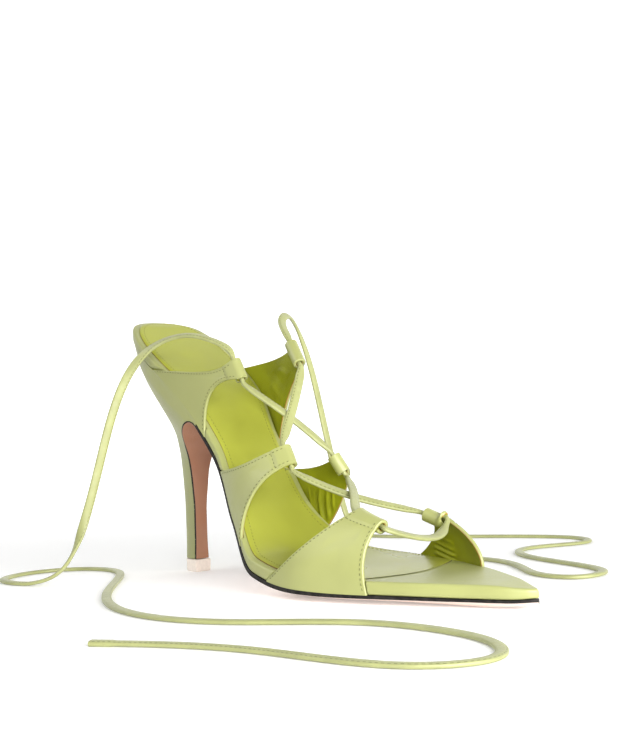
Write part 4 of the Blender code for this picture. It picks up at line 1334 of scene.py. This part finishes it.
class SANDAL_OT_stage(bpy.types.Operator):
    """Pale floor, soft light and the camera"""
    bl_idname = "sandal.stage"
    bl_label = "Stage"

    def execute(self, context):
        scene = context.scene
        self.sweep()
        world = bpy.data.worlds.new("studio")
        world.use_nodes = True
        sky = world.node_tree.nodes["Background"].inputs
        sky["Color"].default_value = (1.0, 1.0, 1.0, 1.0)
        sky["Strength"].default_value = 0.05
        scene.world = world
        for lamp in LAMPS:
            self.lamp(*lamp)
        self.shoot(scene)
        scene.view_settings.view_transform = "Standard"
        return {"FINISHED"}

    @staticmethod
    def sweep():
        """A floor that turns up into a wall behind the shoe, as the camera sees it."""
        right, away = Vector((0.656, 0.755, 0.0)), Vector((-0.755, 0.656, 0.0))
        shape = bmesh.new()
        bmesh.ops.create_grid(shape, x_segments=4, y_segments=170, size=1.0)
        for vert in shape.verts:
            run = (vert.co.y + 1.0) / 2.0 * (SWEEP_STOP - SWEEP_START) + SWEEP_START
            turn = min(max((run - SWEEP_FROM) / SWEEP_ROUND, 0.0), math.pi / 2)
            out = min(run, SWEEP_FROM) + SWEEP_ROUND * math.sin(turn)
            wall = max(run - SWEEP_FROM - SWEEP_ROUND * math.pi / 2, 0.0)
            rise = SWEEP_ROUND * (1.0 - math.cos(turn)) + wall
            vert.co = right * vert.co.x * SWEEP_WIDE + away * out + Vector((0.0, 0.0, rise))
        mesh = bpy.data.meshes.new("floor")
        shape.to_mesh(mesh)
        shape.free()
        mesh.materials.append(floor_paint("floor_paint", (0.9, 0.9, 0.895)))
        mesh.shade_smooth()
        floor = bpy.data.objects.new("floor", mesh)
        bpy.context.scene.collection.objects.link(floor)

    @staticmethod
    def lamp(name, place, size, power):
        data = bpy.data.lights.new(name, "AREA")
        data.size = size
        data.energy = power
        lamp = bpy.data.objects.new(name, data)
        lamp.location = place
        aim = Vector(LAMP_TARGET) - Vector(place)
        lamp.rotation_euler = aim.to_track_quat("-Z", "Y").to_euler()
        bpy.context.scene.collection.objects.link(lamp)

    @staticmethod
    def shoot(scene):
        right, up = Vector(CAMERA_RIGHT).normalized(), Vector(CAMERA_UP)
        back = right.cross(up).normalized()
        turn = Matrix((right, back.cross(right), back)).transposed().to_4x4()
        turn.translation = Vector(CAMERA_PLACE)
        data = bpy.data.cameras.new("camera")
        data.lens = CAMERA_LENS
        data.sensor_width = 36.0
        data.clip_start = 0.01
        camera = bpy.data.objects.new("camera", data)
        camera.matrix_world = turn
        scene.collection.objects.link(camera)
        scene.camera = camera


OPERATORS = (SANDAL_OT_outsole, SANDAL_OT_heel, SANDAL_OT_top_lift, SANDAL_OT_insole, SANDAL_OT_sock,
             SANDAL_OT_wings, SANDAL_OT_stitching, SANDAL_OT_lacing, SANDAL_OT_free_ends, SANDAL_OT_stage)


class SANDAL_PT_panel(bpy.types.Panel):
    """The sandal's pieces"""
    bl_idname = "SANDAL_PT_panel"
    bl_label = "High heel sandal"
    bl_space_type = "VIEW_3D"
    bl_region_type = "UI"
    bl_category = "Sandal"

    def draw(self, context):
        for group in (context.scene.sandal_sizes, context.scene.sandal_looks):
            for name in group.__annotations__:
                self.layout.prop(group, name)
        for operator in OPERATORS:
            self.layout.operator(operator.bl_idname)


CLASSES = (SandalSizes, SandalLooks, *OPERATORS, SANDAL_PT_panel)


def register():
    for item in CLASSES:
        bpy.utils.register_class(item)
    bpy.types.Scene.sandal_sizes = PointerProperty(type=SandalSizes)
    bpy.types.Scene.sandal_looks = PointerProperty(type=SandalLooks)


def unregister():
    del bpy.types.Scene.sandal_sizes
    del bpy.types.Scene.sandal_looks
    for item in reversed(CLASSES):
        bpy.utils.unregister_class(item)


def main():
    register()
    bpy.ops.sandal.stage()
    bpy.ops.sandal.free_ends()
    bpy.ops.sandal.lacing()
    bpy.ops.sandal.wings()
    bpy.ops.sandal.stitching()
    bpy.ops.sandal.insole()
    bpy.ops.sandal.sock()
    bpy.ops.sandal.heel()
    bpy.ops.sandal.top_lift()
    bpy.ops.sandal.outsole()


if __name__ == "__main__":
    main()
